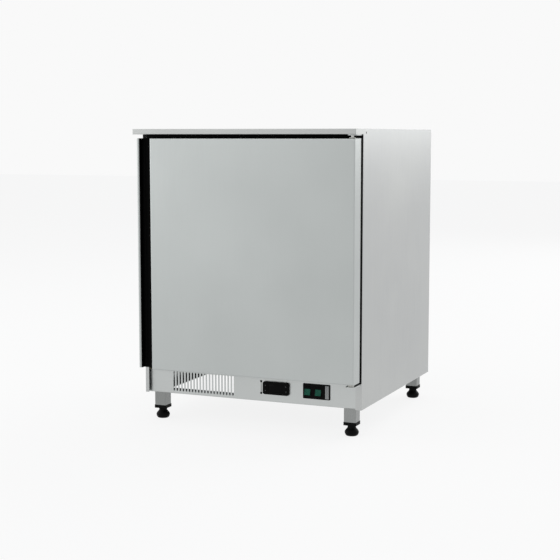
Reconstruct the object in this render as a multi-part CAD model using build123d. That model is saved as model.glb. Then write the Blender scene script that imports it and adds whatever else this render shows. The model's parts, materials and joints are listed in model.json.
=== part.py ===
from build123d import *
import math
import os

# Undercounter freezer with one door, a recessed worktop height cabinet on four screw feet.
# Millimetres. X runs to the right seen from the front, Y to the back, Z up.
# The origin lies on the floor, under the middle of the outline seen from above.

# Overall
cabinet_width = 675.0
cabinet_depth = 640.0
worktop_overhang = 60.0
total_height = 850.0
leg_space = 80.0

# Sheet and wall
outer_sheet = 0.8
bend_radius = 2.4
side_wall = 55.0
rear_wall = 60.0
top_wall = 50.0
floor_wall = 62.0
tank_sheet = 2.5
frame_sheet = 2.0
tray_sheet = 1.5

# Worktop
worktop_edge = 15.0
worktop_sheet = 1.0
front_piece_lap = 20.0
notch_size = 5.5
edge_round = 1.6

# Cabinet front
flange_left = 12.0
flange_right = 18.0
rear_flange = 18.0
plinth_recess = 10.0
plinth_height = 70.0
breaker_depth = 12.0
breaker_round = 2.0
plinth_return = 14.0
hem = 4.0
window_play = 0.25
tab_from_controller = 47.0
tab_size = 4.0
tab_rise = 17.0

# Base frame
frame_front = 60.0
frame_side = 45.0
frame_rear = 40.0
frame_cross = 40.0
frame_web = 27.0

# Compressor step in the tank
step_depth = 255.0
step_height = 209.0
tank_round = 12.0

# Vent slots in the plinth
slot_count = 20
slot_pitch = 10.0
slot_width = 5.0
slot_margin_low = 8.0
slot_margin_high = 4.0
slot_first_inset = 90.0

# Legs and feet
leg_tube = 36.0
leg_wall = 1.5
leg_round = 3.0
leg_side_inset = 22.0
leg_front_inset = 15.0
leg_rear_inset = 18.0
leg_tube_low = 40.0
insert_lip = 1.0
insert_plate = 9.0
insert_plug = 22.0
foot_ball = 40.0
foot_sole = 31.0
foot_ball_height = 13.0
foot_neck = 26.0
foot_neck_low = 25.0
foot_gap = 0.3
stud_diameter = 10.0
stud_clear = 3.0
stud_play = 0.1
leg_bolt = 10.0
leg_cap = 3.0
bolt_across = 16.0
bolt_head = 6.0
bolt_end = 12.0

# Door
door_side_gap = 2.5
door_gap_low = 7.0
door_gap_high = 11.0
door_thick = 48.0
door_rim = 7.0
door_sheet = 0.8
door_round = 3.6
rim_inset = 2.0
rim_round = 2.0
door_tank_sheet = 2.0

# Grip along the free edge of the door
grip_width = 52.0
nose_width = 8.0
nose_set_back = 18.0
grip_wall = 2.0
grip_floor_depth = 37.0
grip_undercut = 12.0
grip_lip_depth = 8.0
grip_round = 7.0
nose_leg = 10.0
nose_round = 3.9

# Gasket
gasket_inset = 28.0
groove_width = 20.0
groove_depth = 5.0
gasket_foot = 19.4
gasket_foot_thick = 2.5
gasket_waist = 12.0
gasket_head = 16.0
gasket_head_thick = 4.2
gasket_air = 0.3

# Raised pad on the inner side of the door
pad_clear = 14.5
pad_height = 12.0
pad_draft = 18.0

# Hinges
pin_from_side = 17.5
pin_from_front = 22.0
pin_diameter = 8.0
pin_in_door = 20.0
pin_play = 0.05
hinge_plate = 3.0
hinge_nose = 14.0
hinge_tail = 88.0
bush_diameter = 12.0
bush_flange = 18.0
bush_flange_thick = 3.0
bush_air = 0.3
bush_end = 2.0
stiffener = 3.0
stiffener_reach = 28.0

# Controller
controller_width = 80.0
controller_height = 37.0
controller_from_side = 259.0
controls_from_top = 29.5
controller_proud = 6.0
controller_wall = 1.6
controller_body_width = 74.0
controller_body_height = 29.0
controller_body_depth = 56.0
controller_round = 6.0
display_width = 44.0
display_height = 22.0
button_width = 7.0
button_height = 9.0
button_reach = 31.5
button_rise = 7.5
button_flange = 1.0
button_travel = 0.8
button_play = 0.3
button_proud = 0.6
button_gap = 0.2
display_set_back = 0.3

# Rocker switches
switch_width = 81.0
switch_height = 43.0
switch_from_side = 136.5
switch_proud = 2.0
switch_lip = 2.0
switch_body_depth = 26.0
switch_wall = 2.0
rocker_width = 18.4
rocker_height = 27.0
rocker_offset = 27.0
rocker_pitch = 32.0
rocker_play = 0.3
rocker_pin_play = 0.1
rocker_end_play = 0.9
rocker_swing = 8.0
rocker_pin = 3.0
rocker_pin_reach = 0.5
rocker_front = 4.0
rocker_rear = 5.0

# Evaporator shelves
evaporator_runs = 8
evaporator_side_gap = 20.5
evaporator_front_gap = 20.0
evaporator_back_gap = 32.0
riser_set_back = 12.0
riser_bend = 10.0
wire_diameter = 3.0
wire_count = 16
wire_margin = 11.0
wire_overhang = 12.0
shelf_count = 3
shelf_clear = 41.0
rail_height = 16.0
rail_reach = 24.5
rail_wall = 2.0
rail_end_gap = 8.0
probe_diameter = 8.0
probe_length = 40.0
probe_from_back = 140.0

# Pipes
pipe_diameter = 8.0
capillary_diameter = 5.0
pipe_sides = 8
coil_sides = 6
bend_flats = 2
pipe_bend = 9.0
capillary_step = 22.0
sleeve_diameter = 15.0
sleeve_lip = 2.0
pipe_tail = 9.0
drain_diameter = 18.0
drain_wall = 2.0
drain_from_step = 30.0
drain_drop = 17.0
drain_reach = 80.0

# Cooling unit in the rear of the base
unit_side_gap = 25.5
unit_lap = 33.0
unit_back_gap = 5.0
unit_lip = 10.0
unit_corner = 40.0
compressor_from_side = 172.5
compressor_from_back = 112.0
compressor_half_width = 92.0
compressor_half_depth = 72.0
compressor_clear = 31.7
compressor_sides = 20
shell_rings = ((0.74, 0.0), (0.93, 0.06), (1.0, 0.2), (1.0, 0.56), (0.95, 0.8), (0.8, 0.94), (0.56, 1.0))
grommet_diameter = 24.0
grommet_height = 12.0
grommet_x = 60.0
grommet_y = 46.0
mount_plate = 3.0
mount_margin = 14.0
condenser_side_gap = 37.5
condenser_width = 232.0
condenser_thick = 45.0
condenser_step_gap = 17.0
condenser_clear_low = 7.7
condenser_clear_high = 17.0
condenser_end = 1.5
fin_pitch = 9.0
fin_gap = 4.0
fin_depth = 6.0
shroud_depth = 20.0
shroud_sheet = 1.5
collar_length = 20.0
fan_margin = 24.0
fan_gap = 4.0
fan_hub = 46.0
fan_blades = 5
blade_chord = 44.0
blade_pitch = 24.0
blade_sheet = 2.0
hub_length = 22.0
motor_diameter = 78.0
motor_length = 46.0
motor_bevel = 5.0
motor_gap = 6.0
shaft_diameter = 5.0
shaft_play = 0.1
bracket_sheet = 2.0
bracket_height = 24.0
bracket_foot = 8.0
bracket_margin = 11.0
evap_tray_gap = 48.0
evap_tray_lap = 29.0
evap_tray_depth = 80.0
evap_tray_height = 35.0
evap_tray_wall = 1.5
drier_diameter = 20.0
drier_length = 100.0
drier_from_back = 25.0
drier_rise = 25.7

# Rear grille and inlet
grille_slot = 6.0
grille_rows = 9
grille_margin_low = 60.0
grille_margin_high = 37.0
grille_margin_side = 85.0
grille_middle = 14.0
inlet_width = 28.0
inlet_height = 20.0
inlet_depth = 30.0
inlet_lip = 3.0
inlet_recess = 3.6
inlet_from_side = 87.5
inlet_rise = 38.0

# Flats that stand for round shapes
corner_flats = 3
rod_sides = 16
pin_sides = 24
bolt_sides = 8
foot_rings = 4
slot_end_flats = 3

# Planes and edges that the sizes above give
x_side = cabinet_width / 2
y_back = (cabinet_depth + worktop_overhang) / 2
y_body = y_back - cabinet_depth
y_front = -y_back
y_split = y_body + front_piece_lap
z_body_top = total_height - worktop_edge
z_floor = leg_space
z_plinth_top = z_floor + plinth_height
z_cold_low = z_plinth_top + hinge_plate
y_plinth = y_body + plinth_recess
x_tank = x_side - side_wall
y_tank_back = y_back - rear_wall
z_tank_low = z_cold_low + floor_wall
z_tank_high = z_body_top - top_wall
y_step = y_back - step_depth
z_step = z_floor + step_height
y_tank_step = y_step - side_wall
z_tank_step = z_step + side_wall
z_frame = z_floor + outer_sheet
z_tray = z_frame + frame_sheet
z_unit = z_tray + tray_sheet

# Door planes
x_door = x_side - door_side_gap
y_door_back = y_front + door_thick
y_rim_back = y_door_back + door_rim
door_low = z_cold_low + door_gap_low
door_high = z_body_top - door_gap_high
x_grip = -x_door + grip_width
x_nose = -x_door + nose_width
y_nose = y_front + nose_set_back
y_grip_floor = y_front + grip_floor_depth
y_lip = y_front + grip_lip_depth
x_pin = x_side - pin_from_side
y_pin = y_front + pin_from_front

# Legs
x_leg = x_side - leg_side_inset - leg_tube / 2
y_leg_front = y_body + leg_front_inset + leg_tube / 2
y_leg_rear = y_back - leg_rear_inset - leg_tube / 2
z_neck = leg_tube_low - insert_plate - foot_gap
z_bolt = z_frame - leg_cap

# Controls
controller_centre = x_side - controller_from_side
controls_height = z_plinth_top - controls_from_top
y_case = y_plinth - controller_proud + controller_wall + button_flange + button_travel + button_gap
switch_centre = x_side - switch_from_side
switch_body_width = switch_width - 2 * switch_lip
switch_body_height = switch_height - 2 * switch_lip
y_pivot = y_plinth - switch_proud + rocker_front

# Evaporator planes
x_coil = x_tank - evaporator_side_gap
y_coil_front = y_body + breaker_depth + evaporator_front_gap
y_coil_back = y_tank_back - evaporator_back_gap
y_riser = y_coil_back + riser_set_back
coil_pitch = 2 * x_coil / (evaporator_runs - 1)
coil_turn = 0.4 * coil_pitch
shelf_pitch = (z_tank_high - z_tank_step - shelf_clear) / shelf_count
shelf_levels = [z_tank_step + shelf_clear + n * shelf_pitch for n in range(shelf_count)]
x_capillary = x_coil - capillary_step

# Cooling unit planes
x_unit = x_side - unit_side_gap
y_unit_front = y_step - unit_lap
y_unit_back = y_back - unit_back_gap
x_compressor = x_side - compressor_from_side
y_compressor = y_back - compressor_from_back
z_shell = z_unit + grommet_height + mount_plate
z_shell_top = z_step - compressor_clear
x_condenser = (-x_side + condenser_side_gap, -x_side + condenser_side_gap + condenser_width)
y_condenser = (y_step + condenser_step_gap, y_step + condenser_step_gap + condenser_thick)
z_condenser = (z_unit + condenser_clear_low, z_step - condenser_clear_high)
x_fan = sum(x_condenser) / 2
z_fan = sum(z_condenser) / 2
fan_diameter = z_condenser[1] - z_condenser[0] - fan_margin
y_collar = y_condenser[1] + shroud_depth
y_strap = y_collar + collar_length + motor_gap
y_motor = y_strap + bracket_sheet
x_evap_tray = (x_condenser[1] + evap_tray_gap, x_compressor + evap_tray_gap / 3)
y_evap_tray = (y_step - evap_tray_lap, y_step - evap_tray_lap + evap_tray_depth)
x_drain = sum(x_evap_tray) / 2
y_drain = y_tank_step - drain_from_step
z_drain = z_cold_low - drain_drop
x_drier = (x_evap_tray[0], x_evap_tray[0] + drier_length)
y_drier = y_back - drier_from_back
z_drier = z_unit + drier_rise
x_inlet = -x_side + inlet_from_side
z_inlet = z_floor + inlet_rise


def block(x_span, y_span, z_span):
    """A box from its lowest and highest x, y and z."""
    spans = (x_span, y_span, z_span)
    size = [high - low for low, high in spans]
    middle = [(high + low) / 2 for low, high in spans]
    return Pos(*middle) * Box(*size)


def round_face(radius, sides):
    """A face with flats on the circle, the first one on top."""
    return RegularPolygon(radius, sides, major_radius=False, rotation=90 - 180 / sides)


def rod(radius, start, end, sides):
    """A bar between two points, with flats that stand for its round."""
    start = Vector(*start)
    run = Vector(*end) - start
    return extrude(Plane(origin=start, z_dir=run) * round_face(radius, sides), run.length)


def stacked(rings):
    """A closed body with flat sides through level rings that all have as many points."""
    faces = [Face(Wire.make_polygon(ring)) for ring in (rings[0], rings[-1])]
    for low, high in zip(rings, rings[1:]):
        for n in range(len(low)):
            faces.append(Face(Wire.make_polygon([low[n - 1], low[n], high[n], high[n - 1]])))
    return Solid(Shell(faces))


def oval_ring(half_width, half_depth, height, sides):
    """Points round an oval at one height, with flats on its four ends."""
    ring = []
    for n in range(sides):
        angle = 2 * math.pi * (n + 0.5) / sides
        reach = 1 / math.cos(math.pi / sides)
        point = (reach * half_width * math.cos(angle), reach * half_depth * math.sin(angle))
        ring.append((*point, height))
    return ring


def turned(rings, sides):
    """A turned body with flat sides, from its radius at each height."""
    return stacked([oval_ring(radius, radius, height, sides) for radius, height in rings])


def upright(face, low, high):
    """A profile seen from above, raised from one height to another."""
    return extrude(Pos(0, 0, low) * face, high - low)


def across(face, left, right):
    """A profile in Y and Z, drawn out along X."""
    return extrude(Plane.YZ.offset(left) * face, right - left)


def inwards(face, front, back):
    """A profile in X and Z, drawn out from the front to the back."""
    plane = Plane(origin=(0, back, 0), x_dir=(1, 0, 0), z_dir=(0, -1, 0))
    return extrude(plane * face, back - front)


def outline(points):
    """A closed face with straight edges."""
    return make_face(Polyline(*points, close=True))


def flat_path(path, flats):
    """The same path with each of its arcs made of short flats."""
    stops = [path @ 0]
    for edge in path.order_edges():
        count = flats if edge.geom_type == GeomType.CIRCLE else 1
        stops += [edge @ (n / count) for n in range(1, count + 1)]
    return stops


def soft_face(points, radii):
    """A closed face with its corners rounded in short flats."""
    path = FilletPolyline(*points, radius=radii, close=True)
    return outline(flat_path(path, corner_flats)[:-1])


def soft_rectangle(width, height, radius):
    """A rectangle with its corners rounded in short flats."""
    x = width / 2
    y = height / 2
    return soft_face([(-x, -y), (x, -y), (x, y), (-x, y)], radius)


def slot_face(length, width):
    """A slot along X with round ends that are made of short flats."""
    middle = (length - width) / 2
    points = []
    for end in (0, 1):
        for n in range(slot_end_flats + 1):
            angle = math.pi * (end + n / slot_end_flats - 0.5)
            x = width / 2 * math.cos(angle)
            points.append((x + (1 - 2 * end) * middle, width / 2 * math.sin(angle)))
    return outline(points)


def folded(points, sheet, radius, side=Side.LEFT):
    """The section of a bent sheet whose outer skin follows the points."""
    path = FilletPolyline(*points, radius=radius)
    line = Polyline(*flat_path(path, corner_flats))
    return make_face(line.offset_2d(sheet, kind=Kind.INTERSECTION, side=side, closed=True).edges())


def frame_ring(x_out, z_low, z_high, width, y_span):
    """A flat rectangular ring that stands upright, as wide as its band all round."""
    outer = block((-x_out, x_out), y_span, (z_low, z_high))
    inner = block((-x_out + width, x_out - width), y_span, (z_low + width, z_high - width))
    return outer - inner


def worktop_space(inset):
    """The worktop as a solid, wider at the front piece, drawn in by an inset."""
    low = z_body_top + inset
    high = total_height - inset
    x_rear = x_side - outer_sheet - inset
    front = block((-x_side + inset, x_side - inset), (y_front + inset, y_split - inset), (low, high))
    rear = block((-x_rear, x_rear), (y_front + inset, y_back - inset), (low, high))
    return front + rear


def worktop_mouth():
    """The opening in the underside of the worktop, over the cabinet body."""
    x_rear = x_side - outer_sheet - worktop_sheet
    levels = (z_body_top, z_body_top + worktop_sheet)
    return block((-x_rear, x_rear), (y_body, y_back - worktop_sheet), levels)


def relief_notches():
    """Two small cuts where the side panels rise beside the worktop's front piece."""
    low = z_body_top + edge_round
    spans = (y_split, y_split + notch_size), (low, low + notch_size)
    right = block((x_side - notch_size, x_side + 1), *spans)
    left = block((-x_side - 1, -x_side + notch_size), *spans)
    return right + left


def make_worktop():
    """Stainless worktop: one folded sheet with its front edge turned back under the overhang."""
    skin = worktop_space(0)
    front = skin.edges().filter_by_position(Axis.Y, y_front - 0.1, y_front + 0.1)
    skin = fillet(front, edge_round)
    rear_top = skin.edges().filter_by(Axis.X).group_by(Axis.Z)[-1].sort_by(Axis.Y)[-1]
    skin = fillet(rear_top, edge_round)
    return skin - worktop_space(worktop_sheet) - worktop_mouth() - relief_notches()


def make_worktop_core():
    """Board that fills the folded worktop and rests on the cabinet body."""
    return worktop_space(worktop_sheet) + worktop_mouth() - relief_notches()


def make_side_panel(flange):
    """Right-hand outer panel: front flange, side, rear flange and a return under the base."""
    points = [
        (x_side - flange, y_body),
        (x_side, y_body),
        (x_side, y_back),
        (x_side - rear_flange, y_back),
    ]
    panel = upright(folded(points, outer_sheet, bend_radius), z_floor, total_height)
    above = (z_body_top, total_height + 1)
    panel -= block((0, x_side + 1), (y_body - 1, y_split), above)
    panel -= block((0, x_side - outer_sheet), (y_body, y_back + 1), above)
    return_y = (y_plinth + hem, y_back - outer_sheet)
    panel += block((x_side - rear_flange, x_side - outer_sheet / 2), return_y, (z_floor, z_frame))
    return panel - relief_notches()


def hinge_slot():
    """The slit in the right front flange that the lower hinge plate comes out of."""
    half = hinge_nose + pin_play
    y_span = (y_body - 1, y_body + bend_radius)
    return block((x_pin - half, x_pin + half), y_span, (z_plinth_top, z_cold_low))


def make_back_panel():
    """Flat rear sheet over the insulation."""
    x_half = x_side - bend_radius
    return block((-x_half, x_half), (y_back - 2 * outer_sheet, y_back - outer_sheet), (z_step, z_body_top))


def tank_section(grow):
    """Section of the cold space in Y and Z, with the step over the cooling unit."""
    front = y_body + breaker_depth
    points = [
        (front, z_tank_low - grow),
        (y_tank_step + grow, z_tank_low - grow),
        (y_tank_step + grow, z_tank_step - grow),
        (y_tank_back + grow, z_tank_step - grow),
        (y_tank_back + grow, z_tank_high + grow),
        (front, z_tank_high + grow),
    ]
    hollow = tank_round + grow
    nose = tank_round - grow
    return soft_face(points, [0, hollow, nose, hollow, hollow, 0])


def tank_block(grow):
    """The cold space as a solid, grown by a wall on every side but the front."""
    return across(tank_section(grow), -x_tank - grow, x_tank + grow)


def make_inner_tank():
    """Thermoformed inner tank: one thin skin round the cold space, open at the front."""
    tank = tank_block(tank_sheet) - tank_block(0)
    return tank - sleeve_bores() - drain_bore()


def machine_room():
    """The room for the cooling unit, under the step and the floor of the cold space."""
    points = [
        (y_front, 0),
        (y_back, 0),
        (y_back, z_step),
        (y_step, z_step),
        (y_step, z_cold_low),
        (y_front, z_cold_low),
    ]
    return across(soft_face(points, [0, 0, 0, bend_radius, bend_radius, 0]), -x_side, x_side)


def make_underside_skin():
    """Galvanised sheet under the insulation, folded up and back over the cooling unit."""
    front = y_body + breaker_depth
    rear = y_back - bend_radius
    points = [(front, z_cold_low), (y_step, z_cold_low), (y_step, z_step), (rear, z_step)]
    x_half = x_side - outer_sheet
    skin = across(folded(points, outer_sheet, bend_radius), -x_half, x_half)
    return skin - sleeve_bores() - drain_bore()


def make_breaker_frame():
    """Black plastic frame round the mouth of the cold space, where the gasket seats."""
    spans = (y_body, y_body + breaker_depth)
    frame = block((-x_side + flange_left, x_side - flange_right), spans, (z_cold_low, z_body_top))
    mouth = block((-x_tank, x_tank), (y_body - 1, spans[1] + 1), (z_tank_low, z_tank_high))
    frame -= mouth
    front = frame.faces().filter_by(Axis.Y).sort_by(Axis.Y)[0]
    return fillet(front.inner_wires()[0].edges(), breaker_round)


def make_insulation():
    """Foam round the inner tank in six blocks that meet: roof, sides, back, floor and step."""
    x_half = x_side - outer_sheet
    rear = y_back - 2 * outer_sheet
    front = y_body + outer_sheet
    middle = (front + rear) / 2
    face = Pos(0, middle) * soft_rectangle(2 * x_half, rear - front, bend_radius)
    foam = upright(face, z_cold_low, z_body_top)
    foam -= machine_room()
    foam -= make_underside_skin()
    foam -= tank_block(tank_sheet)
    frame_x = (-x_side + flange_left, x_side - flange_right)
    foam -= block(frame_x, (y_body, y_body + breaker_depth), (z_cold_low, z_body_top))
    foam = foam - sleeve_bores() - drain_bore()
    x_wall = x_tank + tank_sheet
    y_wall = y_tank_back - tank_round
    z_base = z_tank_low - tank_sheet
    z_roof = z_tank_high + tank_sheet
    deep = (y_front, y_back)
    blocks = [
        block((-x_side, x_side), deep, (z_roof, total_height)),
        block((-x_side, -x_wall), deep, (z_floor, z_roof)),
        block((x_wall, x_side), deep, (z_floor, z_roof)),
        block((-x_wall, x_wall), (y_wall, y_back), (z_floor, z_roof)),
        block((-x_wall, x_wall), (y_front, y_wall), (z_floor, z_base)),
        block((-x_wall, x_wall), (y_front, y_wall), (z_base, z_roof)),
    ]
    return [foam & space for space in blocks]


def slot_row():
    """Upright vent slots with round ends, through the plinth."""
    first = -x_side + slot_first_inset
    slot_height = plinth_height - slot_margin_low - slot_margin_high
    slot = Rot(0, 0, 90) * slot_face(slot_height, slot_width)
    middle = z_floor + slot_margin_low + slot_height / 2
    row = [Pos(first + n * slot_pitch, middle) * slot for n in range(slot_count)]
    return inwards(Sketch() + row, y_plinth - 1, y_plinth + outer_sheet + 1)


def control_face(x, rise, width, height, radius=0.0):
    """A rectangle in the row of controls, seen from the front."""
    shape = soft_rectangle(width, height, radius) if radius else Rectangle(width, height)
    return Pos(x, controls_height + rise) * shape


def window(centre, rise, width, height, play):
    """A cut through the plinth for a part's body, with play all round."""
    face = control_face(centre, rise, width + 2 * play, height + 2 * play)
    return inwards(face, y_plinth - 1, y_plinth + outer_sheet + 1)


def make_plinth():
    """Front panel of the base: vent slots, a window for the controller and one for the switches."""
    points = [
        (y_plinth + plinth_return, z_plinth_top),
        (y_plinth, z_plinth_top),
        (y_plinth, z_floor),
        (y_plinth + hem, z_floor),
    ]
    x_half = x_side - outer_sheet
    panel = across(folded(points, outer_sheet, bend_radius), -x_half, x_half)
    panel -= slot_row()
    panel -= window(controller_centre, 0, controller_body_width, controller_body_height, window_play)
    panel -= window(switch_centre, 0, switch_body_width, switch_body_height, window_play)
    for rise in (-tab_rise, tab_rise):
        panel -= window(controller_centre - tab_from_controller, rise, tab_size, tab_size, 0)
    return panel


def make_base_frame():
    """Galvanised frame that carries the legs and the cooling unit."""
    x_half = x_side - bend_radius
    front = y_plinth + hem
    rear = y_back - 2 * outer_sheet
    level = (z_frame, z_tray)
    ring = block((-x_half, x_half), (front, rear), level)
    x_inner = x_half - frame_side
    ring -= block((-x_inner, x_inner), (front + frame_front, rear - frame_rear), level)
    ring += block((-x_half, x_half), (y_unit_front - hem, y_unit_front + frame_cross), level)
    for side in (-1, 1):
        wall = (side * x_half, side * (x_half - frame_sheet))
        ring += block((min(wall), max(wall)), (front, rear), (z_frame, z_frame + frame_web))
    ring += block((-x_half, x_half), (rear - frame_sheet, rear), (z_frame, z_frame + frame_web))
    for x, y in leg_places():
        ring -= rod(leg_bolt / 2, (x, y, z_floor), (x, y, z_unit), bolt_sides)
    return ring


def leg_places():
    """Where the four legs stand, seen from above."""
    return [(x, y) for y in (y_leg_front, y_leg_rear) for x in (-x_leg, x_leg)]


def make_leg():
    """Square steel tube with a cap welded in its top, bored for the bolt."""
    inner = leg_tube - 2 * leg_wall
    tube = upright(soft_rectangle(leg_tube, leg_tube, leg_round), leg_tube_low, z_frame)
    tube -= upright(Rectangle(inner, inner), leg_tube_low, z_bolt)
    return tube - rod(leg_bolt / 2, (0, 0, z_bolt), (0, 0, z_frame), bolt_sides)


def make_leg_bolt():
    """Bolt from inside the leg's cap, with its nut on the frame."""
    hexagon = RegularPolygon(bolt_across / 2, 6, major_radius=False)
    head = upright(hexagon, z_bolt - bolt_head, z_bolt)
    shank = upright(round_face(leg_bolt / 2, bolt_sides), z_bolt, z_tray + bolt_end)
    nut = upright(hexagon, z_tray, z_tray + bolt_head)
    return head + shank + nut


def make_leg_insert():
    """Black plug in the tube's lower end, with a square plate and a bore for the stud."""
    plate_side = leg_tube + 2 * insert_lip
    plate = soft_rectangle(plate_side, plate_side, leg_round)
    plate = upright(plate, leg_tube_low - insert_plate, leg_tube_low)
    plug_side = leg_tube - 2 * leg_wall
    plug = upright(Rectangle(plug_side, plug_side), leg_tube_low, leg_tube_low + insert_plug)
    return plate + plug - rod(stud_diameter / 2 + stud_play, (0, 0, 0), (0, 0, z_floor), bolt_sides)


def make_foot():
    """Screw foot: a bulb that narrows to its sole, a neck and a stud that runs up into the leg."""
    sole = (foot_sole / 2, 0)
    belly = (foot_ball / 2, foot_ball_height)
    neck = (foot_neck / 2, foot_neck_low)
    bulb = ThreePointArc(sole, belly, neck)
    stops = [bulb @ (n / foot_rings) for n in range(foot_rings + 1)]
    rings = [(stop.X, stop.Y) for stop in stops] + [(foot_neck / 2, z_neck)]
    stud = round_face(stud_diameter / 2, bolt_sides)
    return turned(rings, rod_sides) + upright(stud, z_neck, z_bolt - bolt_head - stud_clear)


def door_box(inset):
    """The door's outer sheet as a solid, with its front edges rolled, drawn in by an inset."""
    points = [
        (-x_door + inset, y_door_back),
        (-x_door + inset, y_nose + inset),
        (x_grip + inset, y_nose + inset),
        (x_grip + inset, y_front + inset),
        (x_door - inset, y_front + inset),
        (x_door - inset, y_door_back),
    ]
    solid = upright(outline(points), door_low + inset, door_high - inset)
    front = solid.edges().filter_by_position(Axis.Y, y_front + inset - 0.1, y_front + inset + 0.1)
    return fillet(front, door_round - inset)


def grip_points():
    """The surface that the fingers feel: down the nose, along the floor and behind the door's edge."""
    return [
        (x_nose + grip_wall, y_nose + grip_wall),
        (x_nose + grip_wall, y_grip_floor),
        (x_grip + grip_undercut, y_grip_floor),
        (x_grip + grip_undercut, y_lip),
        (x_grip + door_sheet, y_lip),
    ]


def grip_space():
    """The hollow of the grip, open to the front, through the whole height of the door."""
    ahead = y_front - nose_set_back
    points = [
        (x_nose, ahead),
        (x_nose, y_nose + grip_wall),
        (x_nose + grip_wall, y_nose + grip_wall),
        (x_nose + grip_wall, y_grip_floor),
        (x_grip + grip_undercut, y_grip_floor),
        (x_grip + grip_undercut, y_lip),
        (x_grip, y_lip),
        (x_grip, ahead),
    ]
    face = soft_face(points, [0, 0, 0, grip_round, grip_round, grip_round, 0, 0])
    return upright(face, door_low - 1, door_high + 1)


def make_grip_profile():
    """Black extruded grip, one wall thick, undercut behind the door's front sheet."""
    return upright(folded(grip_points(), grip_wall, grip_round), door_low, door_high)


def make_nose_trim():
    """Metal trim on the free edge: the side of the door, a round nose and a leg on the grip."""
    points = [
        (-x_door, y_door_back),
        (-x_door, y_nose),
        (x_nose, y_nose),
        (x_nose, y_nose + nose_leg),
    ]
    return upright(folded(points, door_sheet, nose_round), door_low, door_high)


def make_door_skin():
    """Folded stainless front of the door, rolled at its edges and open behind."""
    skin = door_box(0) - door_box(door_sheet)
    skin -= grip_space()
    skin -= make_grip_profile()
    skin -= make_nose_trim()
    return skin - nose_tip() - bush_bores()


def nose_tip():
    """The hollow tip of the nose, ahead of its foam."""
    levels = (door_low - 1, door_high + 1)
    return block((-x_door - 1, x_nose), (y_nose - 1, y_nose + nose_width / 2), levels)


def make_door_foam():
    """Foam in the door, between its outer sheet, its grip and its inner panel."""
    foam = door_box(door_sheet)
    foam -= grip_space()
    foam -= make_grip_profile()
    foam -= make_nose_trim()
    foam -= nose_tip()
    foam += panel_pockets()
    for stiff in make_door_stiffeners():
        foam -= stiff
    return foam - bush_bores()


def pad(inset):
    """The raised middle of the door's inner panel, with sloping sides."""
    width = 2 * (x_tank - pad_clear - inset)
    low = z_tank_low + pad_clear + inset
    high = z_tank_high - pad_clear - inset
    start = (0, y_rim_back - door_tank_sheet, (low + high) / 2)
    face = Plane(origin=start, x_dir=(1, 0, 0), z_dir=(0, 1, 0)) * Rectangle(width, high - low)
    return extrude(face, pad_height + door_tank_sheet - inset, taper=pad_draft)


def panel_pockets():
    """The room behind the raised parts of the inner panel, which the foam fills."""
    x_rim = x_door - rim_inset - door_tank_sheet
    levels = (door_low + rim_inset + door_tank_sheet, door_high - rim_inset - door_tank_sheet)
    depth = (y_door_back, y_rim_back - door_tank_sheet)
    whole = block((-x_rim, x_rim), depth, levels)
    return whole - gasket_ring(groove_width + 2 * door_tank_sheet, depth) + pad(door_tank_sheet)


def make_door_panel():
    """Thermoformed inner panel of the door: rim, groove for the gasket and raised pad."""
    x_rim = x_door - rim_inset
    levels = (door_low + rim_inset, door_high - rim_inset)
    panel = block((-x_rim, x_rim), (y_door_back, y_rim_back), levels)
    rear = panel.faces().sort_by(Axis.Y)[-1]
    panel = fillet(rear.edges(), rim_round)
    panel -= gasket_ring(groove_width, (y_rim_back - groove_depth, y_rim_back))
    return panel + pad(0) - panel_pockets()


def gasket_ring(width, y_span):
    """A square-cornered ring about the gasket's middle line."""
    half = width / 2
    x_out = x_door - gasket_inset + half
    return frame_ring(x_out, door_low + gasket_inset - half, door_high - gasket_inset + half, width, y_span)


def make_gasket():
    """Magnetic gasket: foot in the groove, waist of the bellows, and head by the breaker frame."""
    y_foot = y_rim_back - groove_depth
    y_waist = y_foot + gasket_foot_thick
    y_seal = y_body - gasket_air
    y_head = y_seal - gasket_head_thick
    foot = gasket_ring(gasket_foot, (y_foot, y_waist))
    waist = gasket_ring(gasket_waist, (y_waist, y_head))
    return foot + waist + gasket_ring(gasket_head, (y_head, y_seal))


def bush_bores():
    """The holes in the door's top and bottom for the hinge bushes."""
    deep = pin_in_door + bush_end
    face = Pos(x_pin, y_pin) * round_face(bush_diameter / 2, rod_sides)
    return upright(face, door_low - 1, door_low + deep) + upright(face, door_high - deep, door_high + 1)


def make_door_stiffeners():
    """Steel plates in the door's top and bottom that hold the bushes."""
    x_span = (x_pin - stiffener_reach, x_door - door_sheet)
    y_span = (y_front + door_round, y_door_back)
    low = block(x_span, y_span, (door_low + door_sheet, door_low + door_sheet + stiffener))
    high = block(x_span, y_span, (door_high - door_sheet - stiffener, door_high - door_sheet))
    return [low - bush_bores(), high - bush_bores()]


def make_door_bushes():
    """White nylon bushes with a collar, pressed into the door over the hinge pins."""
    deep = pin_in_door + bush_end
    bore = pin_diameter / 2 + pin_play
    collar = Pos(x_pin, y_pin) * round_face(bush_flange / 2, rod_sides)
    sleeve = Pos(x_pin, y_pin) * round_face(bush_diameter / 2, rod_sides)
    low = upright(collar, z_cold_low + bush_air, door_low) + upright(sleeve, door_low, door_low + deep)
    hole = Pos(x_pin, y_pin) * round_face(bore, pin_sides)
    low -= upright(hole, z_floor, door_low + deep - bush_end / 2)
    high = upright(collar, door_high, door_high + bush_flange_thick)
    high += upright(sleeve, door_high - deep, door_high)
    high -= upright(hole, door_high - deep + bush_end / 2, total_height)
    return [low, high]


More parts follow.
